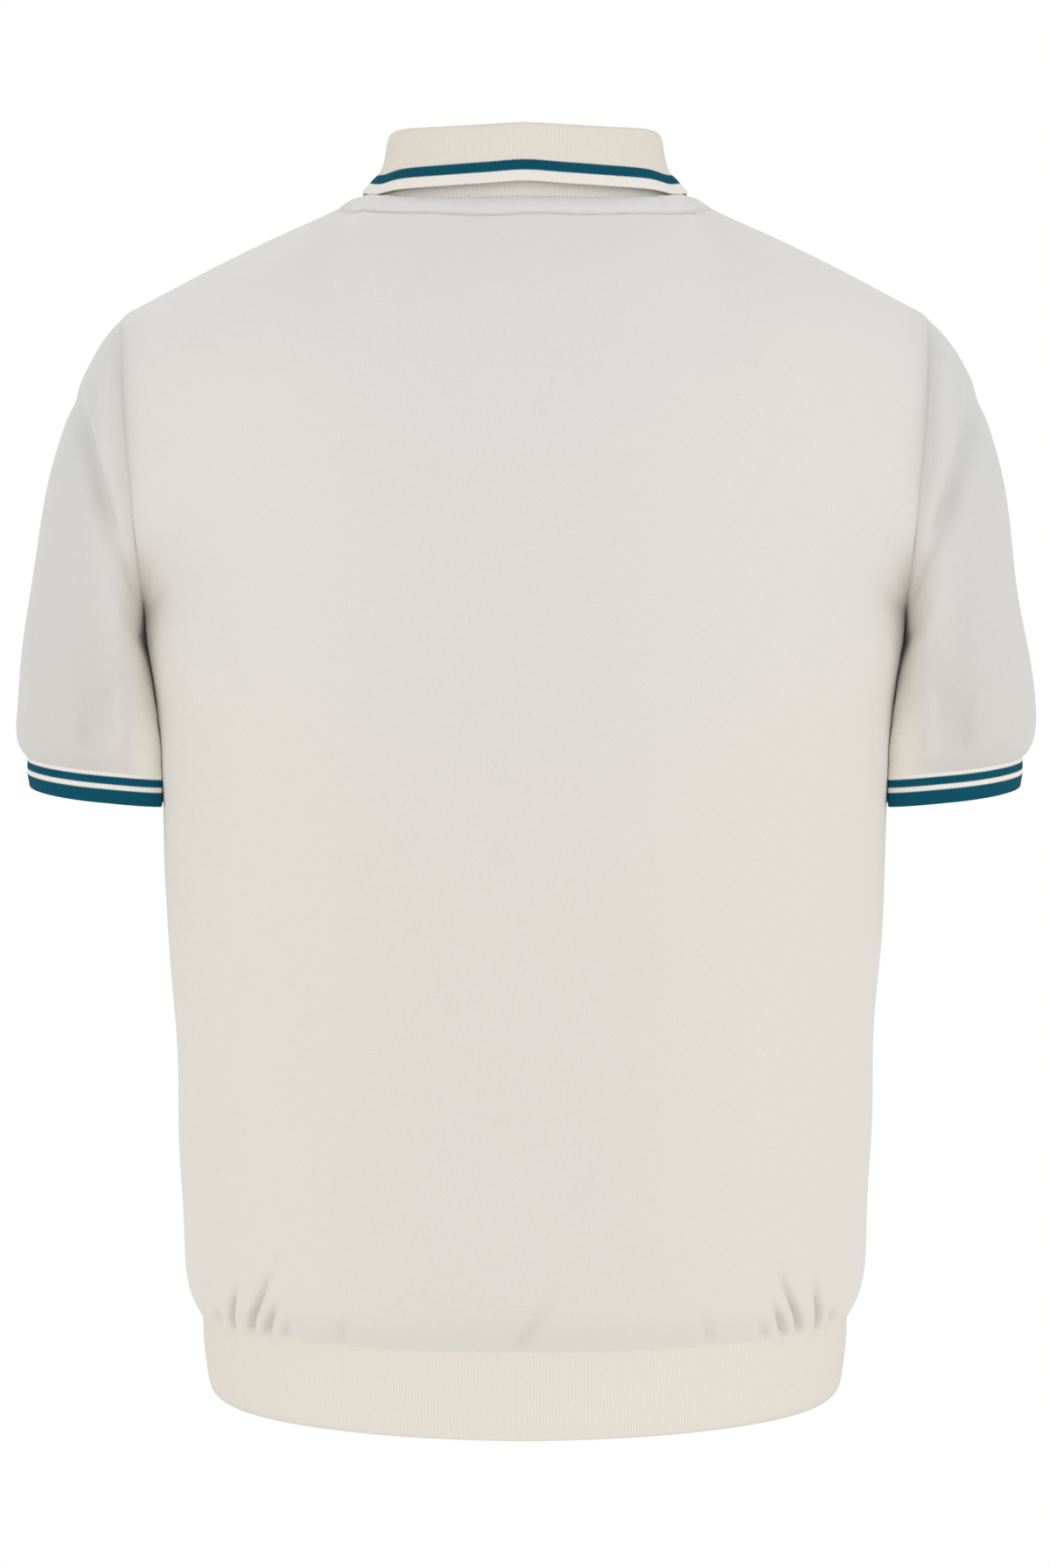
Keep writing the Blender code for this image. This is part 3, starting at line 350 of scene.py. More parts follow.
def bend(start, control, end, shares):
    """Points on a curve that leaves its start, and reaches its end, towards a control point."""
    t = np.asarray(shares)[:, None]
    return (1 - t) ** 2 * start + 2 * t * (1 - t) * control + t ** 2 * end


def smooth_through(places, values, at):
    """A natural cubic curve through values, the first axis of which lies at the places."""
    flat = values.reshape(len(places), -1)
    step = np.diff(places)
    count = len(places)
    system, pull = np.eye(count), np.zeros((count, flat.shape[1]))
    slope = np.diff(flat, axis=0) / step[:, None]
    for k in range(1, count - 1):
        system[k, k - 1:k + 2] = step[k - 1], 2 * (step[k - 1] + step[k]), step[k]
        pull[k] = 6 * (slope[k] - slope[k - 1])
    bends = np.linalg.solve(system, pull)
    cell = np.clip(np.searchsorted(places, at, side="right") - 1, 0, count - 2)
    width = step[cell][:, None]
    right = (np.asarray(at) - places[cell])[:, None] / width
    left = 1.0 - right
    found = (left * flat[cell] + right * flat[cell + 1]
             + ((left ** 3 - left) * bends[cell] + (right ** 3 - right) * bends[cell + 1])
             * width ** 2 / 6)
    return found.reshape((len(found),) + values.shape[1:])


def spans(stops, counts):
    """Stations from the first stop to the last, each span cut into its own count."""
    stations = [stops[0]]
    for start, end, count in zip(stops, stops[1:], counts):
        stations.extend(np.linspace(start, end, count + 1)[1:])
    return np.array(stations)


# %% [markdown]
# ## The net of a panel
# The lower part of a panel follows the body's level sections. Above the chest line each column
# climbs to the neck or shoulder seam on one smooth arc, and then the whole yoke is evened out, the
# way cloth evens itself out between its seams. This is the CAD model's own net.

# %% The panels' coarse net
BACK_NECK_CORNER = 0.46
FRONT_NECK_CORNER = 0.53
NECK_COLUMNS = 8
SHOULDER_COLUMNS = ((0.22, 2), (0.845, 13), (1.0, 2))
LOWER_ROWS = (-0.6305, -0.6255, -0.6170, -0.6030, -0.5780, -0.5300, -0.4600, -0.3800, -0.3000, -0.2380)
CHEST_ROW_LENGTH = 0.33
COLUMN_LENGTH = 0.24
FAIRING_REACH = 0.030
FAIRING_ROWS_BELOW = 2          # rows under the chest line that take part when the yoke is evened out
FAIRING_ROWS_HELD = 4           # the lowest of all those rows, which stay where they are
UPPER_ROWS = {"back": 11, "front": 10}
PLACKET_HALF_WIDTH = 0.0150
ROW_SAMPLES = 481               # of the curves that the net's points are spread along
NECK_SAMPLES = 241
SHOULDER_SAMPLES = 121


def body_point(height, angle):
    """A point of the body's level section, the angle running from the centre back."""
    turn = np.radians(angle)
    depth = np.where(np.cos(turn) > 0, read(BODY, "height", "back", height),
                     read(BODY, "height", "front", height))
    x = read(BODY, "height", "half_width", height) * np.sin(turn)
    y = read(BODY, "height", "middle", height) + depth * np.cos(turn)
    return np.stack([x, y, np.broadcast_to(height, x.shape)], axis=-1)


def half_row(height, side, shares):
    """One level row of half a panel, from the centre line to the side seam."""
    seam = read(BODY, "height", "seam", height)
    angles = np.linspace(0.0 if side == "back" else 180.0, seam, ROW_SAMPLES)
    return spread(body_point(np.full(angles.shape, height), angles), shares)


def neck_curve(side):
    """Half the neck seam, from the centre line to the shoulder seam."""
    turn = np.linspace(0.0, math.pi / 2, NECK_SAMPLES)
    x = NECK_HALF_WIDTH * np.sin(turn)
    if side == "back":
        y = NECK_BACK * np.cos(turn)
        climb = (x / NECK_HALF_WIDTH) ** BACK_NECK_LEVELNESS
        z = NECK_POINT_HEIGHT - (BACK_NECK_DROP + NECK_POINT_HEIGHT) * (1.0 - climb)
    else:
        y = -NECK_FRONT * np.cos(turn)
        fall = np.maximum(np.cos(turn), 0.0) ** FRONT_NECK_LEVELNESS
        z = NECK_POINT_HEIGHT - (FRONT_NECK_DROP + NECK_POINT_HEIGHT) * fall
    return np.stack([x, y, z], axis=1)


def shoulder_curve():
    """The shoulder seam, from the neck to the armhole."""
    share = np.linspace(0.0, 1.0, SHOULDER_SAMPLES)[:, None]
    neck = np.array([NECK_HALF_WIDTH, 0.0, NECK_POINT_HEIGHT])
    crown = np.array([0.0, 0.0, SHOULDER_CROWN]) * np.sin(math.pi * share)
    return neck + (SHOULDER_TIP - neck) * share + crown


def panel_shares(corner):
    """The coarse net's stations across half a panel."""
    ends = [corner + (1.0 - corner) * end for end, _ in SHOULDER_COLUMNS]
    return spans([0.0, corner, *ends], [NECK_COLUMNS, *(count for _, count in SHOULDER_COLUMNS)])


def top_row(side, shares, corner):
    """The upper edge of half a panel: neck seam, then shoulder seam."""
    on_neck = shares <= corner + 1e-9
    neck = spread(neck_curve(side), shares[on_neck] / corner)
    neck[-1] = (NECK_HALF_WIDTH, 0.0, NECK_POINT_HEIGHT)
    return np.concatenate([neck, spread(shoulder_curve(), (shares[~on_neck] - corner) / (1.0 - corner))])


def yoke(side, shares, corner, climbs):
    """The rows of half a panel from the chest line to the shoulder, one smooth arc a column."""
    arcs = BACK_ARCS if side == "back" else FRONT_ARCS
    low, high = half_row(CHEST_LINE, side, shares), top_row(side, shares, corner)
    towards_centre = -unit(np.gradient(low, axis=0))
    rise, slide, reach, inward, lift = (read(arcs, "station", column, shares)[:, None]
                                        for column in Arc._fields[1:])
    leave = rise * UP + slide * towards_centre
    arrive = reach * FORWARD + inward * INWARD + lift * UP
    t = np.asarray(climbs)[:, None, None]
    return ((2 * t ** 3 - 3 * t ** 2 + 1) * low + (t ** 3 - 2 * t ** 2 + t) * leave
            + (3 * t ** 2 - 2 * t ** 3) * high + (t ** 3 - t ** 2) * arrive)


def differences(places):
    """What turns values at places along a line into their first and second slopes there."""
    steps = np.diff(places)
    first = (np.eye(len(places))[1:] - np.eye(len(places))[:-1]) / steps[:, None]
    return first, (first[1:] - first[:-1]) * 2 / (steps[1:] + steps[:-1])[:, None]


def evened(grid, along, across, free):
    """A grid whose free points bend as evenly as cloth does, and stay near where they were."""
    first_along, second_along = differences(along)
    first_across, second_across = differences(across)
    bends = np.concatenate([
        np.kron(second_along, np.eye(len(across))),
        np.kron(np.eye(len(along)), second_across),
        math.sqrt(2) * np.kron(first_along, first_across),
        np.eye(len(along) * len(across)) / FAIRING_REACH ** 2])
    points = grid.reshape(-1, 3)
    wanted = np.zeros((len(bends), 3))
    wanted[-len(points):] = points / FAIRING_REACH ** 2
    free = free.ravel()
    loose, held = bends[:, free], bends[:, ~free]
    settled = points.copy()
    settled[free] = np.linalg.solve(loose.T @ loose, loose.T @ (wanted - held @ points[~free]))
    return settled.reshape(grid.shape)


def coarse_panel(side):
    """A panel's net, with where its rows and its columns lie."""
    corner = BACK_NECK_CORNER if side == "back" else FRONT_NECK_CORNER
    shares = panel_shares(corner)
    climbs = np.linspace(0.0, 1.0, UPPER_ROWS[side] + 1)
    lower = np.array([half_row(height, side, shares) for height in LOWER_ROWS[:-1]])
    half = np.concatenate([lower, yoke(side, shares, corner, climbs)])
    grid = np.concatenate([mirrored(half[:, :0:-1]), half], axis=1)
    across = np.concatenate([-shares[:0:-1], shares]) * CHEST_ROW_LENGTH
    along = np.concatenate([LOWER_ROWS[:-1], CHEST_LINE + climbs * COLUMN_LENGTH])
    first = len(lower) - FAIRING_ROWS_BELOW
    free = np.zeros((len(along) - first, len(across)), dtype=bool)
    free[FAIRING_ROWS_HELD:-1, 1:-1] = True
    grid[first:] = evened(grid[first:], along[first:], across, free)
    if side == "front":
        middle = len(shares) - 1
        grid[len(lower):, middle - 1, 0] = -PLACKET_HALF_WIDTH
        grid[len(lower):, middle + 1, 0] = PLACKET_HALF_WIDTH
    return grid, along, across


coarse = {side: coarse_panel(side) for side in ("back", "front")}
print({side: net[0].shape[:2] for side, net in coarse.items()}, "points in the coarse nets")

# %% [markdown]
# ## The fine net
# Gathers, seams and the padded strip below the collar are a few millimetres wide, so the fine net
# has its rows and columns closest together there. The two panels use the same columns, which lets
# their shoulder and side seams meet point to point, and the sleeve and collar later take the
# panels' own edge points as their first row.

# %% The panels' fine net
COLUMN_STOPS = (0, 8, 10, 23, 23.7, 24.3, 24.65, 24.86, 25)    # in columns of the coarse net
COLUMN_CUTS = (40, 8, 76, 3, 3, 3, 3, 3)
LOWER_STOPS = (0.0, 0.004, 0.050, 0.090, 0.3925)                # above the waist seam, in metres
LOWER_CUTS = (4, 26, 12, 30)
CLIMB_STOPS = (0.0, 0.8, 0.92, 0.975, 1.0)                      # shares of the climb to the shoulder
CLIMB_CUTS = (40, 8, 22, 9)
SEAM_EASE = 0.04                # over this width the front is eased into the back's seam lines

half_columns = spans(COLUMN_STOPS, COLUMN_CUTS)
climbs = spans(CLIMB_STOPS, CLIMB_CUTS)
rows = np.concatenate([WAIST_SEAM + spans(LOWER_STOPS, LOWER_CUTS)[:-1],
                       CHEST_LINE + climbs * COLUMN_LENGTH])
CHEST_ROW = len(rows) - len(climbs)
CENTRE = len(half_columns) - 1
NECK_CORNER = COLUMN_CUTS[0]


def fine_panel(side):
    """A panel's fine net, and how far across the panel each of its columns lies."""
    grid, along, across = coarse[side]
    half_across = across[len(across) // 2:]
    right = np.interp(half_columns, np.arange(len(half_across)), half_across)
    wanted = np.concatenate([-right[:0:-1], right])
    by_row = smooth_through(along, grid, rows)
    fine = smooth_through(across, by_row.transpose(1, 0, 2), wanted).transpose(1, 0, 2)
    return fine, wanted


back_points, back_across = fine_panel("back")
front_points, front_across = fine_panel("front")
for end in (0, -1):
    apart = back_points[:CHEST_ROW + 1, end] - front_points[:CHEST_ROW + 1, end]
    nearness = ease(1.0 - np.abs(front_across - front_across[end]) / SEAM_EASE)
    front_points[:CHEST_ROW + 1] += apart[:, None] * nearness[None, :, None]
    print(f"side seam brought together by up to {np.abs(apart).max() * 1000:.2f} mm")
on_shoulder = np.abs(np.arange(2 * CENTRE + 1) - CENTRE) >= NECK_CORNER
apart = (back_points[-1] - front_points[-1]) * on_shoulder[:, None]
nearness = ease(1.0 - (rows[-1] - rows) / SEAM_EASE)
front_points += nearness[:, None, None] * apart[None]
front_points[:CHEST_ROW + 1, (0, -1)] = back_points[:CHEST_ROW + 1, (0, -1)]
front_points[-1, on_shoulder] = back_points[-1, on_shoulder]
print(back_points.shape[:2], "points in each panel")

# %% [markdown]
# ## Cloth as a wall
# Real cloth has a thickness, and it shows at every edge. Each piece is laid as two sheets of points,
# the outer one and the same moved in by the thickness, joined round their edges. An edge that stays
# visible is rounded by letting the two sheets meet. The pattern map (UV) is in metres along the
# cloth, so that ribs and stripes keep their real size wherever the cloth bends.

# %% Laying cloth
SHARP_ANGLE = 50                # degrees; only the cloth's cut edges are sharper


def normals_of(points, around=False, flip=False):
    """The vector out of the cloth at each point."""
    up = np.gradient(points, axis=0)
    if around:
        across = np.roll(points, -1, axis=1) - np.roll(points, 1, axis=1)
    else:
        across = np.gradient(points, axis=1)
    return unit(np.cross(across, up)) * (-1.0 if flip else 1.0)


def lay_cloth(name, outer, inner, across, along, material, around=False, flip=False, kept=None):
    """A closed wall between two nets, with a pattern map in metres. Cells that aren't kept are left
    open, and the hole gets its own edge."""
    row_count, columns = outer.shape[:2]
    cells = columns if around else columns - 1
    i, j = np.meshgrid(np.arange(row_count - 1), np.arange(cells), indexing="ij")
    if kept is not None:
        i, j = i[kept], j[kept]
    i, j = i.ravel(), j.ravel()
    k = (j + 1) % columns
    corners = np.stack([i * columns + j, i * columns + k, (i + 1) * columns + k,
                        (i + 1) * columns + j], axis=1)
    across = np.broadcast_to(across, (row_count, cells + 1))
    along = np.broadcast_to(along, (row_count, cells + 1))
    pattern = np.stack([
        np.stack([across[i, j], across[i, j + 1], across[i + 1, j + 1], across[i + 1, j]], axis=1),
        np.stack([along[i, j], along[i, j + 1], along[i + 1, j + 1], along[i + 1, j]], axis=1)],
        axis=-1)
    if flip:
        corners, pattern = corners[:, ::-1], pattern[:, ::-1]
    starts = corners.ravel()
    ends = np.roll(corners, -1, axis=1).ravel()
    start_map = pattern.reshape(-1, 2)
    end_map = np.roll(pattern, -1, axis=1).reshape(-1, 2)
    key = np.minimum(starts, ends) * (row_count * columns) + np.maximum(starts, ends)
    _, first, shared = np.unique(key, return_index=True, return_counts=True)
    edge = first[shared == 1]
    total = row_count * columns
    rim = np.stack([ends[edge], starts[edge], starts[edge] + total, ends[edge] + total], axis=1)
    rim_map = np.stack([end_map[edge], start_map[edge], start_map[edge], end_map[edge]], axis=1)
    faces = np.concatenate([corners, corners[:, ::-1] + total, rim])
    maps = np.concatenate([pattern, pattern[:, ::-1], rim_map]).reshape(-1, 2)
    points = np.concatenate([outer.reshape(-1, 3), inner.reshape(-1, 3)])
    used, faces = np.unique(faces, return_inverse=True)
    mesh = bpy.data.meshes.new(name)
    mesh.from_pydata(points[used].tolist(), [], faces.reshape(-1, 4).tolist())
    layer = mesh.uv_layers.new(name="cloth")
    layer.data.foreach_set("uv", maps.ravel().astype(np.float32))
    mesh.shade_smooth()
    mesh.set_sharp_from_angle(angle=math.radians(SHARP_ANGLE))
    mesh.materials.append(material)
    piece = bpy.data.objects.new(name, mesh)
    bpy.context.scene.collection.objects.link(piece)
    return piece


def rounded(outer, inner, from_edge, thickness):
    """The two sheets, drawn together over the last half thickness before a free edge."""
    reach = thickness / 2
    share = np.clip(from_edge / reach, 0.0, 1.0)
    close = 0.5 * (1.0 - np.sqrt(1.0 - (1.0 - share) ** 2))[..., None]
    across = inner - outer
    return outer + across * close, inner - across * close


def dress(piece, node, slot, **cut):
    """Lets a piece of cloth stand for its CAD node: hangs it from the root and hides the node. The size it
    was cut to is not used.
    """
    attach(piece, "root")
    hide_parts(node)
    print(f"{piece.name}: {len(piece.data.polygons)} faces")


# %% [markdown]
# ## Velour
# Velour is a knit with a short, dense, brushed pile. It scatters light softly, is brightest where it
# turns away from the eye, and its pile lies a little differently from place to place, which shows as
# faint clouds and flecks. A Principled shader with sheen gives the glow at the edges. The clouds and
# the pile come from noise on object coordinates, so they run on over the seams. A few broad tints,
# each blended in by place, are painted light and shade that stand for what a real room does to such a
# cloth: warmer light from the floor, cooler light from above, painted shade that greys the outer
# sleeves, a little painted shade in the middle, and painted light that makes the cloth paler between
# body and sleeve at the armpits, where shade would fall.

# %% The cloudy tone that every cloth here shares
def add_mix(tree, blend, share, first, second):
    """A mix of two colours, each a colour or another node's socket."""
    mix = tree.nodes.new("ShaderNodeMix")
    mix.data_type = "RGBA"
    mix.blend_type = blend
    for socket, value in ((mix.inputs[0], share), (mix.inputs[6], first), (mix.inputs[7], second)):
        if isinstance(value, bpy.types.NodeSocket):
            link(tree, value, socket)
        elif isinstance(value, tuple):
            socket.default_value = (*value, 1.0)
        else:
            socket.default_value = value
    return mix.outputs[2]


def make_group(name, inputs, outputs):
    """An empty node group with number sockets, except those whose names say what they are."""
    kinds = {"Place": "NodeSocketVector", "Tone": "NodeSocketColor", "Deep": "NodeSocketColor",
             "Light": "NodeSocketColor"}
    group = bpy.data.node_groups.new(name, "ShaderNodeTree")
    for direction, names in (("INPUT", inputs), ("OUTPUT", outputs)):
        for socket in names:
            group.interface.new_socket(name=socket, in_out=direction,
                                       socket_type=kinds.get(socket, "NodeSocketFloat"))
    return group, group.nodes.new("NodeGroupInput"), group.nodes.new("NodeGroupOutput")


def add_noise(tree, place, scale, detail, roughness):
    """Smooth noise round one half. The scale is another node's socket, in spots a metre."""
    noise = tree.nodes.new("ShaderNodeTexNoise")
    noise.inputs["Detail"].default_value = detail
    noise.inputs["Roughness"].default_value = roughness
    link(tree, place, noise.inputs["Vector"])
    link(tree, scale, noise.inputs["Scale"])
    return noise.outputs["Fac"]


PILE_TURN = (0.62, 0.47, 0.83)  # radians; noise that lies square to a flat stretch shows its grid


def make_clouds():
    """Clouds in the pile: a colour between two, and the height of the pile."""
    group, given, out = make_group("pile", ("Place", "Deep", "Light", "Clouds", "Flecks", "Pile"),
                                   ("Tone", "Height"))
    turn = group.nodes.new("ShaderNodeMapping")
    turn.inputs["Rotation"].default_value = PILE_TURN
    link(group, given.outputs["Place"], turn.inputs["Vector"])
    place = turn.outputs["Vector"]
    clouds = add_noise(group, place, given.outputs["Clouds"], 3.0, 0.55)
    flecks = add_noise(group, place, given.outputs["Flecks"], 4.0, 0.65)
    pile = add_noise(group, place, given.outputs["Pile"], 2.0, 0.6)
    both = add_math(group, "MULTIPLY_ADD", flecks, 0.6, add_math(group, "MULTIPLY", clouds, 0.9))
    level = add_math(group, "MULTIPLY_ADD", pile, 0.5, add_math(group, "MULTIPLY", both, 0.67))
    share = add_math(group, "SUBTRACT", add_math(group, "MULTIPLY", level, 2.0), 0.25)
    link(group, add_mix(group, "MIX", share, given.outputs["Deep"], given.outputs["Light"]),
         out.inputs["Tone"])
    link(group, add_math(group, "MULTIPLY_ADD", flecks, 0.35, add_math(group, "MULTIPLY", pile, 0.65)),
         out.inputs["Height"])
    return group


pile_group = make_clouds()
print("node group", pile_group.name, "is ready")

# %% Velour material
VELOUR_DEEP = (0.494, 0.475, 0.443)
VELOUR_LIGHT = (0.678, 0.656, 0.616)
WARM_BELOW = -0.42              # from this height down the cloth catches the floor's warm light
COOL_ABOVE = -0.10              # and from this one up the cool light from above
WARM = (1.000, 0.988, 0.955)
COOL = (0.985, 0.995, 1.000)
OUTER_FROM = 0.205              # from here outwards, on the sleeves, the cloth is greyed with painted shade
OUTER_TO = 0.245
SLEEVE_PAINTED_SHADE = (0.872, 0.886, 0.914)
MIDDLE_FROM = 0.16              # from here inwards the back and front lie a little in their own shade
MIDDLE_TO = 0.03
MIDDLE_TONE = (0.968, 0.972, 0.984)
UNDERARM_MIDDLE = 0.209         # painted light: between body and sleeve the cloth is made paler, where shade would fall
UNDERARM_HALF_WIDTH = 0.013
UNDERARM_LOW = (-0.36, -0.32)           # heights over which the glow comes in
UNDERARM_HIGH = (-0.205, -0.250)        # and, from above, the same
UNDERARM_PAINTED_LIGHT = (1.13, 1.12, 1.09)
CLOUDS_A_METRE = 26.0
FLECKS_A_METRE = 420.0
PILE_A_METRE = 1900.0
PILE_HEIGHT = 0.00035
VELOUR_SHEEN = 0.30


def use_group(tree, group, **values):
    """A group in a material, its inputs set to numbers, colours or sockets."""
    node = tree.nodes.new("ShaderNodeGroup")
    node.node_tree = group
    for name, value in values.items():
        if isinstance(value, bpy.types.NodeSocket):
            link(tree, value, node.inputs[name])
        elif isinstance(value, tuple):
            node.inputs[name].default_value = (*value, 1.0)
        else:
            node.inputs[name].default_value = value
    return node


def add_bump(tree, height, distance, shader):
    """Lets a height, in shares of a distance in metres, tilt the light on the shader."""
    bump = tree.nodes.new("ShaderNodeBump")
    bump.inputs["Strength"].default_value = 1.0
    bump.inputs["Distance"].default_value = distance
    link(tree, height, bump.inputs["Height"])
    link(tree, bump.outputs["Normal"], shader.inputs["Normal"])


def blend_between(tree, value, start, end):
    """Goes smoothly from 0 to 1 as a socket's value goes from start to end."""
    blend = tree.nodes.new("ShaderNodeMapRange")
    blend.interpolation_type = "SMOOTHSTEP"
    blend.inputs["From Min"].default_value = start
    blend.inputs["From Max"].default_value = end
    link(tree, value, blend.inputs["Value"])
    return blend.outputs["Result"]


def make_velour():
    """Velour, with painted light and shade as tints: warm below and cool above, painted shade on the
    outer sleeves and in the middle, and painted light under the arms."""
    material, shader = plain_material("velour", VELOUR_LIGHT, 0.92)
    tree = material.node_tree
    shader.inputs["Sheen Weight"].default_value = VELOUR_SHEEN
    shader.inputs["Sheen Roughness"].default_value = 0.45
    shader.inputs["Specular IOR Level"].default_value = 0.15
    where = tree.nodes.new("ShaderNodeTexCoord").outputs["Object"]
    pile = use_group(tree, pile_group, Place=where, Deep=VELOUR_DEEP, Light=VELOUR_LIGHT,
                     Clouds=CLOUDS_A_METRE, Flecks=FLECKS_A_METRE, Pile=PILE_A_METRE)
    parts = tree.nodes.new("ShaderNodeSeparateXYZ")
    link(tree, where, parts.inputs["Vector"])
    height = parts.outputs["Z"]
    aside = add_math(tree, "ABSOLUTE", parts.outputs["X"])
    high = blend_between(tree, height, WARM_BELOW, COOL_ABOVE)
    outer = blend_between(tree, aside, OUTER_FROM, OUTER_TO)
    central = blend_between(tree, aside, MIDDLE_FROM, MIDDLE_TO)
    # painted light that pales the cloth in the crevice between body and sleeve
    away = add_math(tree, "ABSOLUTE", add_math(tree, "SUBTRACT", aside, UNDERARM_MIDDLE))
    painted_underarm_light = blend_between(tree, away, UNDERARM_HALF_WIDTH, 0.0)
    for ends in (UNDERARM_LOW, UNDERARM_HIGH):
        painted_underarm_light = add_math(tree, "MULTIPLY", painted_underarm_light, blend_between(tree, height, *ends))
    # painted light of the room: warmer from the floor, cooler from above
    room_tint = add_mix(tree, "MIX", high, WARM, COOL)
    tinted = add_mix(tree, "MULTIPLY", 1.0, pile.outputs["Tone"], room_tint)
    # painted shade on the outer sleeves and in the middle, painted light under the arms
    for share, tint in ((outer, SLEEVE_PAINTED_SHADE), (central, MIDDLE_TONE), (painted_underarm_light, UNDERARM_PAINTED_LIGHT)):
        tinted = add_mix(tree, "MULTIPLY", share, tinted, tint)
    link(tree, tinted, shader.inputs["Base Color"])
    add_bump(tree, pile.outputs["Height"], PILE_HEIGHT, shader)
    return material


velour = make_velour()
print("velour material:", len(velour.node_tree.nodes), "nodes")

# %% [markdown]
# ## Rib knit
# Collar, cuffs and waistband are knitted in ribs: narrow ridges that run across the band, about one
# and a half millimetres apart, each made of rows of small loops. The pattern map gives the place in
# metres across and along the band, so a sine wave of it makes the ridges and a faster one the loops.
# Stripes are knitted in with teal yarn, and because a loop is always one colour, a stripe's edge
# steps up and down from rib to rib.

# %% Ribs and loops
RIB_PITCH = 0.0015
LOOP_PITCH = 0.0011
RIB_HEIGHT = 0.00022
STRIPE_STEP = 0.0007            # how far a stripe's edge climbs from a groove to a ridge
CREAM_DEEP = (0.690, 0.665, 0.610)
CREAM_LIGHT = (0.810, 0.785, 0.730)
IVORY_DEEP = (0.612, 0.568, 0.498)      # the collar's fall
IVORY_LIGHT = (0.740, 0.695, 0.622)
PAINTED_LIT_STAND_DEEP = (0.800, 0.786, 0.742)      # its stand, where the ribs lie open, made paler with painted light where the fall shades it
PAINTED_LIT_STAND_LIGHT = (0.890, 0.876, 0.836)
GROOVE = (0.93, 0.92, 0.90)             # the shade between ribs
OPEN_GROOVE = (0.84, 0.83, 0.81)        # and the deeper painted shade it is multiplied by where the ribs lie open
RIB_YARN = {"Clouds": 70.0, "Flecks": 900.0, "Pile": 2400.0}     # spots a metre
BAND_DEEP = (0.590, 0.553, 0.482)
BAND_LIGHT = (0.715, 0.674, 0.600)
TEAL_DEEP = (0.001, 0.042, 0.068)
TEAL_LIGHT = (0.003, 0.076, 0.122)


def make_ribs():
    """Ridges and loops from a place on the band in metres."""
    group, given, out = make_group("ribs", ("Place", "Pitch", "Loop"), ("Ridge", "Height"))
    parts = group.nodes.new("ShaderNodeSeparateXYZ")
    link(group, given.outputs["Place"], parts.inputs["Vector"])
    turns = add_math(group, "DIVIDE", parts.outputs["X"], given.outputs["Pitch"])
    ridge = add_math(group, "MULTIPLY_ADD",
                     add_math(group, "COSINE", add_math(group, "MULTIPLY", turns, 2 * math.pi)), 0.5, 0.5)
    loops = add_math(group, "DIVIDE", parts.outputs["Y"], given.outputs["Loop"])
    leaning = add_math(group, "MULTIPLY_ADD", ridge, 0.35, loops)
    loop = add_math(group, "MULTIPLY_ADD",
                    add_math(group, "COSINE", add_math(group, "MULTIPLY", leaning, 2 * math.pi)), 0.5, 0.5)
    height = add_math(group, "MULTIPLY_ADD", add_math(group, "MULTIPLY", loop, ridge), 0.3,
                      add_math(group, "MULTIPLY", ridge, 0.7))
    link(group, ridge, out.inputs["Ridge"])
    link(group, height, out.inputs["Height"])
    return group


rib_group = make_ribs()
print("node group", rib_group.name, "is ready")

# %% Rib materials
Stripe = namedtuple("Stripe", "low high deep light")


def make_rib(name, deep, light, stripes=(), pitch=RIB_PITCH, height=RIB_HEIGHT, open_from=1.0):
    """Rib knit, with stripes of other tones from and to places along the band, in metres. Its ribs
    lie open, with darker grooves, beyond one more place."""
    material, shader = plain_material(name, light, 0.86)
    tree = material.node_tree
    shader.inputs["Specular IOR Level"].default_value = 0.06
    pattern = tree.nodes.new("ShaderNodeUVMap")
    pattern.uv_map = "cloth"
    where = tree.nodes.new("ShaderNodeTexCoord").outputs["Object"]
    ribs = use_group(tree, rib_group, Place=pattern.outputs["UV"], Pitch=pitch, Loop=LOOP_PITCH)
    colour = use_group(tree, pile_group, Place=where, Deep=deep, Light=light, **RIB_YARN).outputs["Tone"]
    parts = tree.nodes.new("ShaderNodeSeparateXYZ")
    link(tree, pattern.outputs["UV"], parts.inputs["Vector"])
    step = add_math(tree, "MULTIPLY_ADD", ribs.outputs["Ridge"], STRIPE_STEP, -STRIPE_STEP / 2)
    stepped = add_math(tree, "ADD", step, parts.outputs["Y"])
    for stripe in stripes:
        middle, half = (stripe.low + stripe.high) / 2, (stripe.high - stripe.low) / 2
        apart = add_math(tree, "ABSOLUTE", add_math(tree, "SUBTRACT", stepped, middle))
        inside = add_math(tree, "LESS_THAN", apart, half)
        yarn = use_group(tree, pile_group, Place=where, Deep=stripe.deep, Light=stripe.light, **RIB_YARN)
        colour = add_mix(tree, "MIX", inside, colour, yarn.outputs["Tone"])
    groove = add_math(tree, "SUBTRACT", 1.0, ribs.outputs["Height"])
    shaded = add_mix(tree, "MULTIPLY", groove, colour, GROOVE)
    opened = add_math(tree, "MULTIPLY", groove,
                      add_math(tree, "GREATER_THAN", parts.outputs["Y"], open_from))
    shaded = add_mix(tree, "MULTIPLY", opened, shaded, OPEN_GROOVE)
    link(tree, shaded, shader.inputs["Base Color"])
    add_bump(tree, ribs.outputs["Height"], height, shader)
    return material


# %% [markdown]
# ## Seams, gathers and folds
# The outer net is still as smooth as a balloon. What makes it a garment is small: each seam pulls
# the cloth into a shallow valley, the waistband is shorter than the panels and gathers them, and
# soft folds run where the cloth has too much width. Each of these is a row in a table: where it is,
# how wide and how deep. A helper turns the rows into a depth for every point of the net.

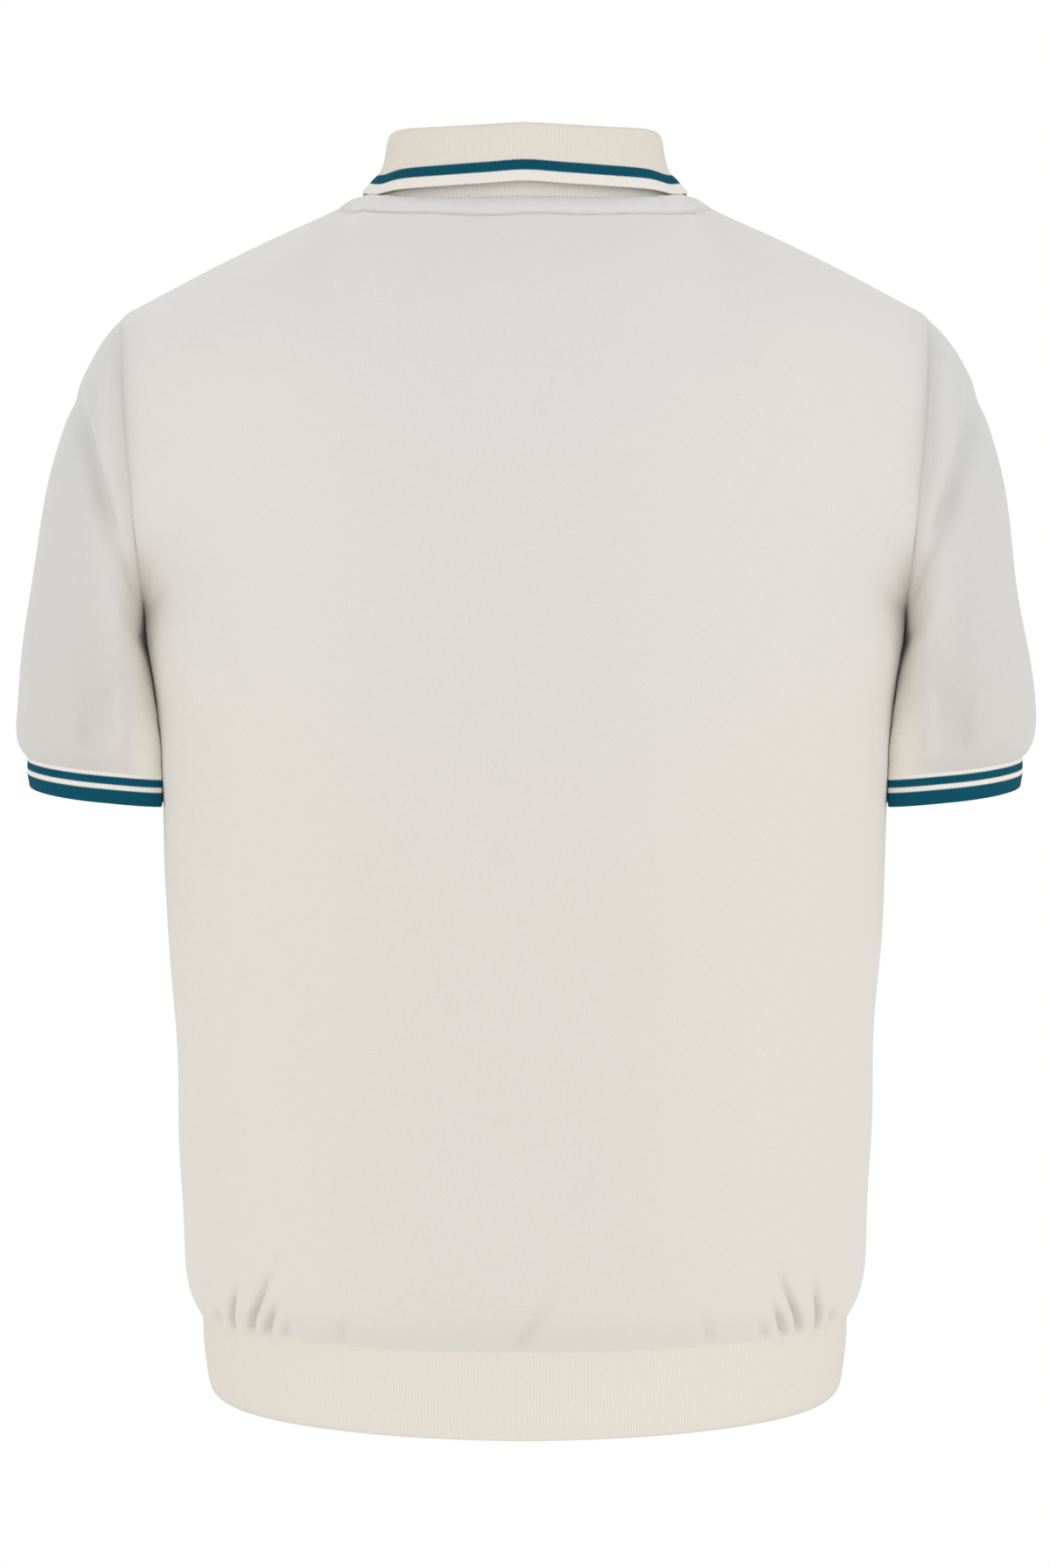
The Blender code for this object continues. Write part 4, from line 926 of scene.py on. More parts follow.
# %% Depth helpers
SEAM_SWELL = 0.00022
SEAM_WIDTH = 0.0012
SWELL_REACH = 0.010
SIDE_SEAM_SHARE = 0.25          # the side seams are pressed flatter than the others
SIDE_SEAM_FADE = 0.02           # over this height from the chest line up, they turn into armholes
FOLD_END = 0.3                  # the share of a fold's length over which it fades at each end
UNEVENNESS = 0.0006
UNEVEN_FADE = 0.03              # nearer to a seam than this, the cloth is more even
SLOW_WAVES = (                  # how each turns along X, Y and Z, in radians a metre, and its start
    ((31.0, 7.0, 23.0), 0.3),
    ((-17.0, 11.0, 41.0), 1.9),
    ((47.0, -13.0, -19.0), 4.1),
    ((-61.0, 29.0, 37.0), 2.6),
    ((13.0, 5.0, -71.0), 5.2),
)
Fold = namedtuple("Fold", "path width depth")


def seam_swell(away):
    """How far the cloth stands up beside a seam, which itself stays where it is."""
    return SEAM_SWELL * (1.0 - np.exp(-(away / SEAM_WIDTH) ** 2)) * np.exp(-(away / SWELL_REACH) ** 2)


def fold_depth(points, folds):
    """Soft troughs, or ridges where the depth is below zero, along paths of x and z."""
    depth = np.zeros(points.shape[:-1])
    flat = points[..., (0, 2)]
    for fold in folds:
        path = np.array(fold.path)
        run = run_along(path)
        nearest = np.full(points.shape[:-1], np.inf)
        share = np.zeros(points.shape[:-1])
        for k, (start, end) in enumerate(zip(path, path[1:])):
            length = run[k + 1] - run[k]
            part = np.clip((flat - start) @ (end - start) / length ** 2, 0.0, 1.0)
            apart = np.linalg.norm(flat - start - part[..., None] * (end - start), axis=-1)
            closer = apart < nearest
            nearest = np.where(closer, apart, nearest)
            share = np.where(closer, (run[k] + part * length) / run[-1], share)
        fade = ease(share / FOLD_END) * ease((1.0 - share) / FOLD_END)
        depth += fold.depth * fade * np.exp(-(nearest / fold.width) ** 2)
    return depth


def unevenness(points, height=UNEVENNESS):
    """Slow waves of no particular direction, so that no surface is perfectly even."""
    return height * sum(np.sin(points @ np.array(wave) + start) for wave, start in SLOW_WAVES) / 2


def edge_distances(points):
    """How far each point of a panel lies from the panel's right, left, lower and upper edge."""
    from_right = run_up(points.transpose(1, 0, 2)).T
    from_foot = run_up(points)
    return from_right, from_right[:, -1:] - from_right, from_foot, from_foot[-1] - from_foot


# %% Gathers over the waistband
Gather = namedtuple("Gather", "place width depth height lean")
BACK_GATHERS = (
    Gather(place=0.196, width=0.0034, depth=0.0030, height=0.016, lean=0.10),
    Gather(place=0.181, width=0.0024, depth=0.0048, height=0.038, lean=0.04),
    Gather(place=0.165, width=0.0026, depth=0.0048, height=0.054, lean=-0.24),
    Gather(place=0.152, width=0.0026, depth=0.0046, height=0.028, lean=-0.30),
    Gather(place=0.137, width=0.0028, depth=0.0028, height=0.014, lean=-0.20),
    Gather(place=0.100, width=0.0032, depth=0.0026, height=0.024, lean=0.00),
)
FRONT_GATHERS = (
    Gather(place=0.228, width=0.0040, depth=0.0026, height=0.018, lean=0.10),
    Gather(place=0.214, width=0.0040, depth=0.0040, height=0.038, lean=0.00),
    Gather(place=0.198, width=0.0038, depth=0.0034, height=0.024, lean=-0.25),
    Gather(place=0.181, width=0.0040, depth=0.0038, height=0.048, lean=-0.30),
    Gather(place=0.166, width=0.0042, depth=0.0022, height=0.016, lean=-0.10),
    Gather(place=0.118, width=0.0045, depth=0.0015, height=0.020, lean=0.10),
)
CENTRE_FOLD = Gather(place=0.003, width=0.0042, depth=0.0034, height=0.040, lean=-0.55)
GATHER_FOOT = 0.003             # how far above the seam a gather is at its deepest
GATHER_START = 0.4              # how far it is there already at the seam itself, up to one
GATHER_HEAD = 1.3               # how steeply it ends at its head


def gather_depth(gathers, places, climb):
    """How deep the cloth is drawn in at places along the waist seam, at a height above it."""
    depth = np.zeros(np.broadcast_shapes(places.shape, climb.shape))
    for gather in gathers:
        strength = (ease(GATHER_START + (1.0 - GATHER_START) * climb / GATHER_FOOT)
                    * ease(GATHER_HEAD * (gather.height - climb) / gather.height))
        middle = gather.place + gather.lean * climb
        depth += gather.depth * strength * np.exp(-((places - middle) / gather.width) ** 2)
    return depth


# %% [markdown]
# ## The padded strip below the collar
# Where the collar is sewn on, its seam allowance is folded down under the velour and stitched flat
# about fourteen millimetres below. The layers puff the velour up into a soft roll, with a fine groove
# along the stitches. The table says how high the roll stands at each distance from the neck seam.

# %% Neck roll
Roll = namedtuple("Roll", "away height")
NECK_ROLL = (
    Roll(away=0.0000, height=0.0000),
    Roll(away=0.0010, height=0.0012),
    Roll(away=0.0032, height=0.0021),
    Roll(away=0.0070, height=0.0024),
    Roll(away=0.0108, height=0.0018),
    Roll(away=0.0128, height=0.0010),
    Roll(away=0.0137, height=-0.0014),
    Roll(away=0.0146, height=0.0003),
    Roll(away=0.0175, height=0.0004),
    Roll(away=0.0240, height=0.0000),
)
STITCH_AWAY = 0.0137            # where the roll is stitched down
ROLL_REACH = 0.027


def wander(place):
    """How much nearer to the neck seam, as a share, the stitches run at a place along it."""
    return 0.045 * np.sin(place * 120) + 0.035 * np.sin(place * 67 + 1.0)


def puff(place):
    """How much fuller than its table the roll is at a place along the neck seam."""
    return 1.0 + 0.12 * np.sin(place * 610 + 0.7) + 0.08 * np.sin(place * 371)


def neck_roll(points, neck):
    """The roll's height at every point of a panel, with its stitch line wandering a little."""
    height = np.zeros(points.shape[:2])
    run = run_along(neck)
    for i in range(len(points) - 1, -1, -1):
        apart = np.linalg.norm(points[i][:, None] - neck[None], axis=2)
        away = apart.min(axis=1)
        if away.min() > ROLL_REACH:
            break
        place = run[apart.argmin(axis=1)]
        height[i] = read(NECK_ROLL, "away", "height", away * (1.0 + wander(place))) * puff(place)
    return height


# %% [markdown]
# ## Back and front
# Each panel is one piece of velour, from one side seam to the other. The front is slit down the
# middle for the placket. A fold's row gives the places that it runs through, across and up.

# %% Back and front panels
VELOUR_THICKNESS = 0.0016
BACK_FOLDS = (
    Fold(path=((0.205, -0.190), (0.150, -0.300)), width=0.016, depth=0.0014),
    Fold(path=((-0.205, -0.190), (-0.145, -0.310)), width=0.017, depth=0.0013),
    Fold(path=((0.004, -0.600), (0.010, -0.520)), width=0.014, depth=0.0009),
)
FRONT_FOLDS = (
    Fold(path=((0.200, -0.200), (0.165, -0.255), (0.120, -0.330)), width=0.017, depth=0.0020),
    Fold(path=((-0.200, -0.200), (-0.160, -0.260), (-0.130, -0.300)), width=0.015, depth=0.0022),
    Fold(path=((0.060, -0.330), (0.020, -0.520)), width=0.022, depth=0.0012),
)
PLACKET_FOOT_CLIMB = 0.2        # share of the climb from the chest line where the placket begins
PLACKET_COLUMNS = 5             # of the fine net that it takes on each side of the centre
PLACKET_ROW = CHEST_ROW + int(round(PLACKET_FOOT_CLIMB / CLIMB_STOPS[1] * CLIMB_CUTS[0]))


def dress_panel(name, side, points, across, gathers, folds, kept=None):
    """One velour panel over its net."""
    flip = side == "back"
    outwards = normals_of(points, flip=flip)
    place = run_along(points[0])
    place -= place[-1] / 2
    climb = points[..., 2] - WAIST_SEAM
    depth = gather_depth(gathers, np.abs(place)[None, :], climb)
    if side == "back":
        depth += gather_depth((CENTRE_FOLD,), place[None, :], climb)
    depth += fold_depth(points, folds)
    from_right, from_left, from_foot, from_top = edge_distances(points)
    neck = points[-1, CENTRE - NECK_CORNER:CENTRE + NECK_CORNER + 1]
    shoulder = np.ones(points.shape[1])
    shoulder[CENTRE - NECK_CORNER:CENTRE + NECK_CORNER + 1] = 0.0
    at_armhole = ease((rows - CHEST_LINE) / SIDE_SEAM_FADE)[:, None]
    tight = SIDE_SEAM_SHARE + (1.0 - SIDE_SEAM_SHARE) * at_armhole
    height = neck_roll(points, neck) - depth + seam_swell(from_top) * shoulder
    height += (seam_swell(from_right) + seam_swell(from_left)) * tight
    from_edge = np.minimum(np.minimum(from_right, from_left), np.minimum(from_foot, from_top))
    height += unevenness(points) * ease(from_edge / UNEVEN_FADE)
    height[:, (0, -1)] = 0.0
    outer = points + height[..., None] * outwards
    inner = outer - VELOUR_THICKNESS * normals_of(outer, flip=flip)
    piece = lay_cloth(name, outer, inner, across, rows[:, None], velour, flip=flip, kept=kept)
    return piece, outer


back, back_outer = dress_panel("back_velour", "back", back_points, back_across, BACK_GATHERS, BACK_FOLDS)
in_front = np.ones((len(rows) - 1, len(front_across) - 1), dtype=bool)
in_front[PLACKET_ROW:, CENTRE - PLACKET_COLUMNS:CENTRE + PLACKET_COLUMNS] = False
front, front_outer = dress_panel("front_velour", "front", front_points, front_across, FRONT_GATHERS,
                                 FRONT_FOLDS, kept=in_front)
dress(back, "back_panel", "velour", flat=(0.56, 0.65), held="stretched", area=0.302,
      rests_on=["waistband_rib"])
dress(front, "front_panel", "velour", flat=(0.63, 0.65), held="stretched", area=0.347,
      rests_on=["waistband_rib"])
moved = np.linalg.norm(back_outer - back_points, axis=2)
print(f"roll, folds and gathers move the back's cloth by up to {moved.max() * 1000:.1f} mm")

# %% [markdown]
# ## Sleeves
# A sleeve is one piece, closed by a seam under the arm and set into the armhole. Its first row is the
# panels' own armhole, so the seam is tight all round. From there it runs through the rings down to
# the cuff, where the cloth is fuller than the cuff and rolls over it.

# %% Sleeve net
SLEEVE_CLEARANCE = 0.0003       # the least gap to the body's side
CLEARANCE_SOFTNESS = 0.0014
CLEARANCE_FADE = 0.010          # over this height below the chest line it comes in
SLEEVE_FLATNESS = 0.45          # how flat the sleeve lies along the body, up to one
SLEEVE_FLAT_BY = 0.24           # the share of its length by which it is so
STRAIGHT_RINGS = 4              # under the arm the cloth runs straight up to this ring
STRAIGHT_START = 0.30           # cosine of the angle round the sleeve, where it begins to do so
STRAIGHT_REACH = 0.90           # and how much further on it does so in full
CUFF_TILT_BACK = 0.09           # how much lower the cuff's back lies, for each metre towards it
SLEEVE_STOPS = (0.0, 0.012, 0.030, 0.90, 0.985, 1.0)
SLEEVE_CUTS = (5, 3, 50, 14, 6)
Trough = namedtuple("Trough", "round_from along_from round_to along_to width depth")
SLEEVE_TROUGHS = (
    Trough(round_from=15, along_from=0.26, round_to=160, along_to=0.10, width=0.06, depth=0.0020),
    Trough(round_from=-20, along_from=0.24, round_to=-160, along_to=0.12, width=0.06, depth=0.0040),
)
TROUGH_END = 0.25               # the share of a trough's length over which it fades at each end


def body_side(y, height):
    """How far the body's side reaches outwards at a depth and height."""
    height = np.clip(height, HEM, CHEST_LINE)
    middle = read(BODY, "height", "middle", height)
    depth = np.where(y > middle, read(BODY, "height", "back", height),
                     read(BODY, "height", "front", height))
    across = np.clip(1.0 - ((y - middle) / depth) ** 2, 0.0, 1.0)
    return read(BODY, "height", "half_width", height) * np.sqrt(across)


def clear_of_body(points):
    """Sleeve points, pushed softly outwards where they would come too close to the body."""
    room = points[:, 0] - body_side(points[:, 1], points[:, 2]) - SLEEVE_CLEARANCE
    soft = CLEARANCE_SOFTNESS
    push = np.where(room < soft, (soft - room) ** 2 / (4 * soft), 0.0)
    push = np.where(room < -soft, -room, push)
    moved = points.copy()
    moved[:, 0] += push * ease((CHEST_LINE - points[:, 2]) / CLEARANCE_FADE)
    return moved


def ring_points(ring, angles):
    """One ring of the sleeve, the angle running from the outer point over the back."""
    outer = np.array([ring.outer_x, ring.middle, ring.outer_z])
    inner = np.array([ring.inner_x, ring.middle, ring.inner_z])
    turn = np.radians(angles)[:, None]
    depth = np.where(np.sin(turn) > 0, ring.back, ring.front)
    flat = np.where(np.cos(turn) < 0, SLEEVE_FLATNESS * ease(ring.along / SLEEVE_FLAT_BY), 0.0)
    out = np.sign(np.cos(turn)) * np.abs(np.cos(turn)) ** (1.0 - flat)
    back = np.sign(np.sin(turn)) * np.abs(np.sin(turn)) ** (1.0 - flat)
    points = (outer + inner) / 2 + (outer - inner) / 2 * out - depth * back * FORWARD
    points[:, 2] -= CUFF_TILT_BACK * ring.along ** 2 * (points[:, 1] - ring.middle)
    return clear_of_body(points)


def straightened(rings, angles):
    """The rings, with the cloth under the arm running straight from the armhole to one ring."""
    start, end = rings[0], rings[STRAIGHT_RINGS]
    across = np.cos(np.radians(angles))
    straight = ease((STRAIGHT_START - across) / STRAIGHT_REACH)
    for i, ring in enumerate(SLEEVE[:STRAIGHT_RINGS - 1], start=1):
        share = ring.along / SLEEVE[STRAIGHT_RINGS - 1].along
        rings[i] = rings[i] + (start + (end - start) * share - rings[i]) * straight[:, None]
    return rings


def trough_depth(angles, along):
    """How deep the sleeve is drawn in along its slanting folds."""
    signed = np.where(angles > 180.0, angles - 360.0, angles)
    depth = np.zeros(np.broadcast_shapes(angles.shape, along.shape))
    for trough in SLEEVE_TROUGHS:
        share = (signed - trough.round_from) / (trough.round_to - trough.round_from)
        centre = trough.along_from + (trough.along_to - trough.along_from) * np.clip(share, 0.0, 1.0)
        ends = ease(share / TROUGH_END) * ease((1.0 - share) / TROUGH_END)
        depth = depth + trough.depth * ends * np.exp(-((along - centre) / trough.width) ** 2)
    return depth


armhole = np.concatenate([back_points[:CHEST_ROW - 1:-1, -1], front_points[CHEST_ROW + 1:-1, -1]])
sleeve_angles = np.concatenate([180.0 * (1.0 - climbs[::-1]), 180.0 + 180.0 * climbs[1:-1]])
ring_places = np.array([0.0] + [ring.along for ring in SLEEVE])
sleeve_along = spans(SLEEVE_STOPS, SLEEVE_CUTS)
sleeve_rings = np.array([armhole] + [ring_points(ring, sleeve_angles) for ring in SLEEVE])
sleeve_rings = straightened(sleeve_rings, sleeve_angles)
sleeve_points = smooth_through(ring_places, sleeve_rings, sleeve_along)
print(sleeve_points.shape[:2], "points in a sleeve")

# %% Sleeves
SLEEVE_LENGTH = 0.255
BODY_NEARNESS = 0.012           # nearer to the body than this, the sleeve lies smooth
SLEEVE_UNEVENNESS = 0.0008
FOLDS_BEHIND = -0.03            # the folds are on the sleeve's back, from here
FOLDS_FADE = 0.02               # and in full this much further back
SLEEVE_FOLDS = (
    Fold(path=((0.2560, -0.104), (0.2470, -0.128), (0.2384, -0.152), (0.2294, -0.184), (0.2160, -0.210)),
         width=0.0052, depth=0.0058),
    Fold(path=((0.2450, -0.106), (0.2370, -0.132), (0.2280, -0.160), (0.2190, -0.184)),
         width=0.0065, depth=-0.0026),
    Fold(path=((0.2330, -0.096), (0.2350, -0.116), (0.2340, -0.136)), width=0.0035, depth=0.0010),
    Fold(path=((0.2380, -0.276), (0.2440, -0.318)), width=0.0045, depth=0.0030),
    Fold(path=((0.2285, -0.272), (0.2330, -0.318)), width=0.0040, depth=0.0026),
)


def dress_sleeve(name, points, flip):
    """One sleeve over its net, for either side."""
    outwards = normals_of(points, around=True, flip=flip)
    height = -trough_depth(sleeve_angles[None, :], sleeve_along[:, None])
    from_seam = run_up(points)
    from_cuff = from_seam[-1] - from_seam
    height += seam_swell(from_seam)
    on_left = np.concatenate([np.abs(points[..., :1]), points[..., 1:]], axis=-1)
    folded = fold_depth(on_left, SLEEVE_FOLDS)
    height -= folded * ease((points[..., 1] - FOLDS_BEHIND) / FOLDS_FADE)
    from_body = np.abs(points[..., 0]) - body_side(points[..., 1], points[..., 2])
    from_edge = np.minimum(from_seam, from_cuff)
    height += unevenness(points, SLEEVE_UNEVENNESS) * ease(from_edge / UNEVEN_FADE)
    height *= ease(from_body / BODY_NEARNESS)
    outer = points + height[..., None] * outwards
    inner = outer - VELOUR_THICKNESS * normals_of(outer, around=True, flip=flip)
    across = run_around(points[len(points) // 2])
    return lay_cloth(name, outer, inner, across[None, :], -sleeve_along[:, None] * SLEEVE_LENGTH,
                     velour, around=True, flip=flip)


for side, mirror in (("left", False), ("right", True)):
    points = mirrored(sleeve_points) if mirror else sleeve_points
    sleeve = dress_sleeve(f"sleeve_{side}_velour", points, flip=not mirror)
    dress(sleeve, f"sleeve_{side}", "velour", flat=(0.42, 0.25), held="gathered", area=0.062,
          rests_on=[f"cuff_{side}_rib"])

# %% [markdown]
# ## Cuffs
# The cuffs are rib knit like the collar, with a narrow teal line, a cream line and a broad teal edge.
# Each is a short ring that starts at the sleeve's last row and is drawn in a little at its edge.

# %% Cuffs
CUFF_HEIGHT = 0.0172
CUFF_THICKNESS = 0.0022
CUFF_DRAW = 0.0012              # how far the free edge is drawn in
CUFF_FREE = 0.02                # nearer to the body than this, it is drawn in less
CUFF_STOPS = (0.0, 0.90, 0.96, 1.0)
CUFF_CUTS = (12, 4, 5)
CUFF_STRIPES = ((0.12, 0.38), (0.54, 1.2))      # shares of the height, from the seam down

cuff_rib = make_rib("cuff_rib", CREAM_DEEP, CREAM_LIGHT,
                    stripes=[Stripe(-CUFF_HEIGHT * high, -CUFF_HEIGHT * low, TEAL_DEEP, TEAL_LIGHT)
                             for low, high in CUFF_STRIPES])


def dress_cuff(name, seam, flip):
    """A rib ring that hangs from the sleeve's last row."""
    centre = seam.mean(axis=0)
    outwards = unit((seam - centre) * np.array([1.0, 1.0, 0.0]))
    shares = spans(CUFF_STOPS, CUFF_CUTS)
    drawn = CUFF_DRAW * ease(2.0 * shares - 1.0)
    apart = np.abs(seam[:, 0]) - body_side(seam[:, 1], seam[:, 2])
    free = ease(apart / CUFF_FREE)[:, None]
    outer = np.array([seam - CUFF_HEIGHT * share * UP - draw * free * outwards
                      for share, draw in zip(shares, drawn)])
    inner = outer - CUFF_THICKNESS * normals_of(outer, around=True, flip=flip)
    outer, inner = rounded(outer, inner, (CUFF_HEIGHT * (1.0 - shares))[:, None], CUFF_THICKNESS)
    return lay_cloth(name, outer, inner, run_around(seam)[None, :], -CUFF_HEIGHT * shares[:, None],
                     cuff_rib, around=True, flip=flip)


for side, mirror in (("left", False), ("right", True)):
    seam = mirrored(sleeve_points[-1]) if mirror else sleeve_points[-1]
    cuff = dress_cuff(f"cuff_{side}_rib", seam, flip=not mirror)
    dress(cuff, f"cuff_{side}", "rib", flat=(0.37, 0.0172), held="stretched")

# %% [markdown]
# ## Waistband
# A wide strip of fine rib, folded double, runs round the waist and draws the panels in. It tucks in
# slightly under its lower edge.

# %% Waistband
BAND_THICKNESS = 0.0030
BAND_STOPS = (0.0, 0.0012, 0.0060, 0.0400, 0.0463)     # above the hem
BAND_CUTS = (6, 6, 16, 6)
GATHER_FADE = 0.005             # how far below the seam the band still follows the gathers
BAND_RIB_PITCH = 0.0017
BAND_RIB_HEIGHT = 0.00012

band_rib = make_rib("waistband_rib", BAND_DEEP, BAND_LIGHT, pitch=BAND_RIB_PITCH, height=BAND_RIB_HEIGHT)


def dress_waistband():
    """The closed band, from the hem up to the waist seam."""
    heights = HEM + spans(BAND_STOPS, BAND_CUTS)
    levels = []
    for height in heights[:-1]:
        behind = half_row(height, "back", back_across[CENTRE:] / CHEST_ROW_LENGTH)
        before = half_row(height, "front", front_across[CENTRE:] / CHEST_ROW_LENGTH)
        levels.append(np.concatenate([mirrored(behind[:0:-1]), behind[:-1],
                                      before[:0:-1], mirrored(before[:-1])]))
    seam = np.concatenate([back_points[0], front_points[0, -2:0:-1]])
    drawn_in = np.concatenate([back_outer[0], front_outer[0, -2:0:-1]]) - seam
    levels.append(seam)
    follow = ease(1.0 - (heights[-1] - heights) / GATHER_FADE)
    outer = np.array(levels) + follow[:, None, None] * drawn_in
    inner = outer - BAND_THICKNESS * normals_of(outer, around=True, flip=True)
    outer, inner = rounded(outer, inner, (heights - HEM)[:, None], BAND_THICKNESS)
    across = run_around(outer[len(outer) // 2])
    return lay_cloth("waistband_rib", outer, inner, across[None, :], heights[:, None], band_rib,
                     around=True, flip=True)


waistband = dress_waistband()
dress(waistband, "waistband", "rib", flat=(0.98, 0.047), held="stretched")

# %% [markdown]
# ## Collar
# The collar is one knitted band, sewn to the neck by one long edge. It stands up, folds over and
# falls outwards, so its section is an S. It is made as the CAD collar is, section by section, and
# then run through with smooth curves. The stripe lies at a fixed distance from the free edge.

# %% Collar net
FOLD_RADIUS = 0.0021
STAND_STEPS = 3
FOLD_STEPS = 3
FALL_STEPS = 4
FALL_FLARE = (0.15, 0.40)
COLLAR_PARTING = 0.0015         # how far from the centre front each end begins
COLLAR_CLEARANCE = 0.0014       # the least height of the fall over the panels' nets
COLLAR_THICKNESS = 0.0020
RESTING_POINTS = 4              # of the panels' nets, nearest to a point of the fall


def collar_profile(base):
    """One section of the collar, from its neck seam over the fold to the fall's edge."""
    depth = NECK_BACK if base[1] > 0 else NECK_FRONT
    angle = abs(math.degrees(math.atan2(base[0] / NECK_HALF_WIDTH, base[1] / depth)))
    lean, stand, bow, out, drop, sideways = (float(read(COLLAR, "angle", column, angle))
                                             for column in Profile._fields[1:])
    outwards = unit(np.array([base[0] / NECK_HALF_WIDTH ** 2, base[1] / depth ** 2, 0.0]))
    backwards = np.array([-outwards[1], outwards[0], 0.0]) * math.copysign(1.0, base[0])
    fold_base = stand - FOLD_RADIUS
    stand_top = np.array([-lean, fold_base])
    stand_control = np.array([-lean * (0.5 + 0.5 * bow), fold_base * (0.5 - 0.45 * bow)])
    points = list(bend(np.zeros(2), stand_control, stand_top, np.linspace(0, 1, STAND_STEPS + 1)))
    for turn in np.linspace(0, math.pi, FOLD_STEPS + 1)[1:]:
        points.append(stand_top + FOLD_RADIUS * np.array([1 - math.cos(turn), math.sin(turn)]))
    fall_top, edge = points[-1], np.array([out, drop])
    flare_out, flare_up = FALL_FLARE
    fall_control = np.array([fall_top[0] + (edge[0] - fall_top[0]) * flare_out,
                             edge[1] + (fall_top[1] - edge[1]) * flare_up])
    shares = np.linspace(0, 1, FALL_STEPS + 1)[1:]
    points += list(bend(fall_top, fall_control, edge, shares))
    strays = np.concatenate([np.zeros(STAND_STEPS + FOLD_STEPS + 1), sideways * shares])
    return np.array([base + outwards * away + UP * height + backwards * stray
                     for (away, height), stray in zip(points, strays)])


def rest_on(nets, points):
    """Points, raised where they would come too close to the panels below them."""
    below = np.concatenate([net.reshape(-1, 3) for net, _ in nets])
    walls = np.concatenate([wall.reshape(-1, 3) for _, wall in nets])
    resting = []
    for point in points:
        apart = np.linalg.norm(below[:, :2] - point[:2], axis=1)
        near = np.argsort(apart)[:RESTING_POINTS]
        slope = walls[near, :2] / walls[near, 2:]
        heights = below[near, 2] - np.sum(slope * (point[:2] - below[near, :2]), axis=1)
        weights = 1.0 / (apart[near] + 1e-4) ** 2
        height = np.sum(weights * heights) / np.sum(weights) + COLLAR_CLEARANCE
        resting.append([point[0], point[1], max(point[2], height)])
    return np.array(resting)


def coarse_collar():
    """The collar's net, and the place of each of its columns counted from the centre back."""
    back_net, front_net = coarse["back"][0], coarse["front"][0]
    middle = back_net.shape[1] // 2
    share = COLLAR_PARTING / PLACKET_HALF_WIDTH
    end = (1 - share) * front_net[-1, middle] + share * front_net[-1, middle + 1]
    before = front_net[-1, middle + 1:middle + NECK_COLUMNS + 1]
    behind = back_net[-1, middle - NECK_COLUMNS + 1:middle + NECK_COLUMNS]
    left = np.concatenate([[end], before])
    seam = np.concatenate([mirrored(left), behind, left[::-1]])
    sections = np.array([collar_profile(base) for base in seam]).transpose(1, 0, 2)
    chest = len(LOWER_ROWS) - 1
    nets = [(net[chest:], normals_of(net, flip=flip)[chest:])
            for net, flip in ((back_net, True), (front_net, False))]
    for i in range(STAND_STEPS + FOLD_STEPS + 1, len(sections)):
        sections[i] = rest_on(nets, sections[i])
    run = run_along(seam)
    return sections, run - run[-1] / 2


# %% Collar
COLLAR_COLUMN = 0.0024          # between one column and the next
COLLAR_ROWS = (26, 14, 30)
EDGE_ZONE = 0.003               # the last stretch before the free edge, where rows lie closer
EDGE_ROWS = (0.8, 0.6, 0.42, 0.28, 0.17, 0.09, 0.04, 0.01, 0.0)        # shares of it
STRIPE_EDGE = 0.0064            # cream between the free edge and the stripe
STRIPE_WIDTH = 0.0065
STAND_PLACE = (0.048, 0.100)    # how far from the free edge the stand's open ribs begin and end
PAST_EDGE = -0.01               # a place that is surely beyond the free edge
COLLAR_RIB_HEIGHT = 0.00030

# the stand's tones are paler with painted light, where the fall shades it
collar_rib = make_rib("collar_rib", IVORY_DEEP, IVORY_LIGHT, stripes=[
    Stripe(PAST_EDGE, STRIPE_EDGE, CREAM_DEEP, CREAM_LIGHT),
    Stripe(STRIPE_EDGE, STRIPE_EDGE + STRIPE_WIDTH, TEAL_DEEP, TEAL_LIGHT),
    Stripe(*STAND_PLACE, PAINTED_LIT_STAND_DEEP, PAINTED_LIT_STAND_LIGHT)], open_from=STAND_PLACE[0], height=COLLAR_RIB_HEIGHT)


def dress_collar():
    """The collar as a rib wall. The side it shows is the one away from the panels."""
    sections, run = coarse_collar()
    lengths = np.linalg.norm(np.diff(sections, axis=0), axis=2).mean(axis=1)
    places = np.concatenate([[0.0], np.cumsum(lengths)])
    stops = places[[0, STAND_STEPS, STAND_STEPS + FOLD_STEPS]]
    edge = places[-1]
    wanted = np.concatenate([spans([*stops, edge - EDGE_ZONE], COLLAR_ROWS),
                             edge - EDGE_ZONE * np.array(EDGE_ROWS)])
    columns = np.linspace(run[0], run[-1], int(round((run[-1] - run[0]) / COLLAR_COLUMN)) + 1)
    by_row = smooth_through(places, sections, wanted)
    hidden = smooth_through(run, by_row.transpose(1, 0, 2), columns).transpose(1, 0, 2)
    walls = normals_of(hidden, flip=True)
    shown = hidden - COLLAR_THICKNESS * walls
    along = run_up(shown[::-1])[::-1]
    shown, hidden = rounded(shown, hidden, along, COLLAR_THICKNESS)
    from_end = np.minimum(columns - columns[0], columns[-1] - columns)
    shown, hidden = rounded(shown, hidden, np.broadcast_to(from_end, along.shape), COLLAR_THICKNESS)
    print(f"stripe starts {STRIPE_EDGE * 1000:.1f} mm from an edge that is {along[0].mean() * 1000:.0f}"
          " mm from the seam")
    return lay_cloth("collar_rib", hidden, shown, columns[None, :], along, collar_rib, flip=True)


collar = dress_collar()
dress(collar, "collar", "rib", flat=(0.50, 0.075), held="folded", rests_on=["back_velour"])

# %% [markdown]
# ## Placket
# The front opening is finished with two bands, one over the other. They are laid on the panel's own
# points, the upper band a little proud of it.

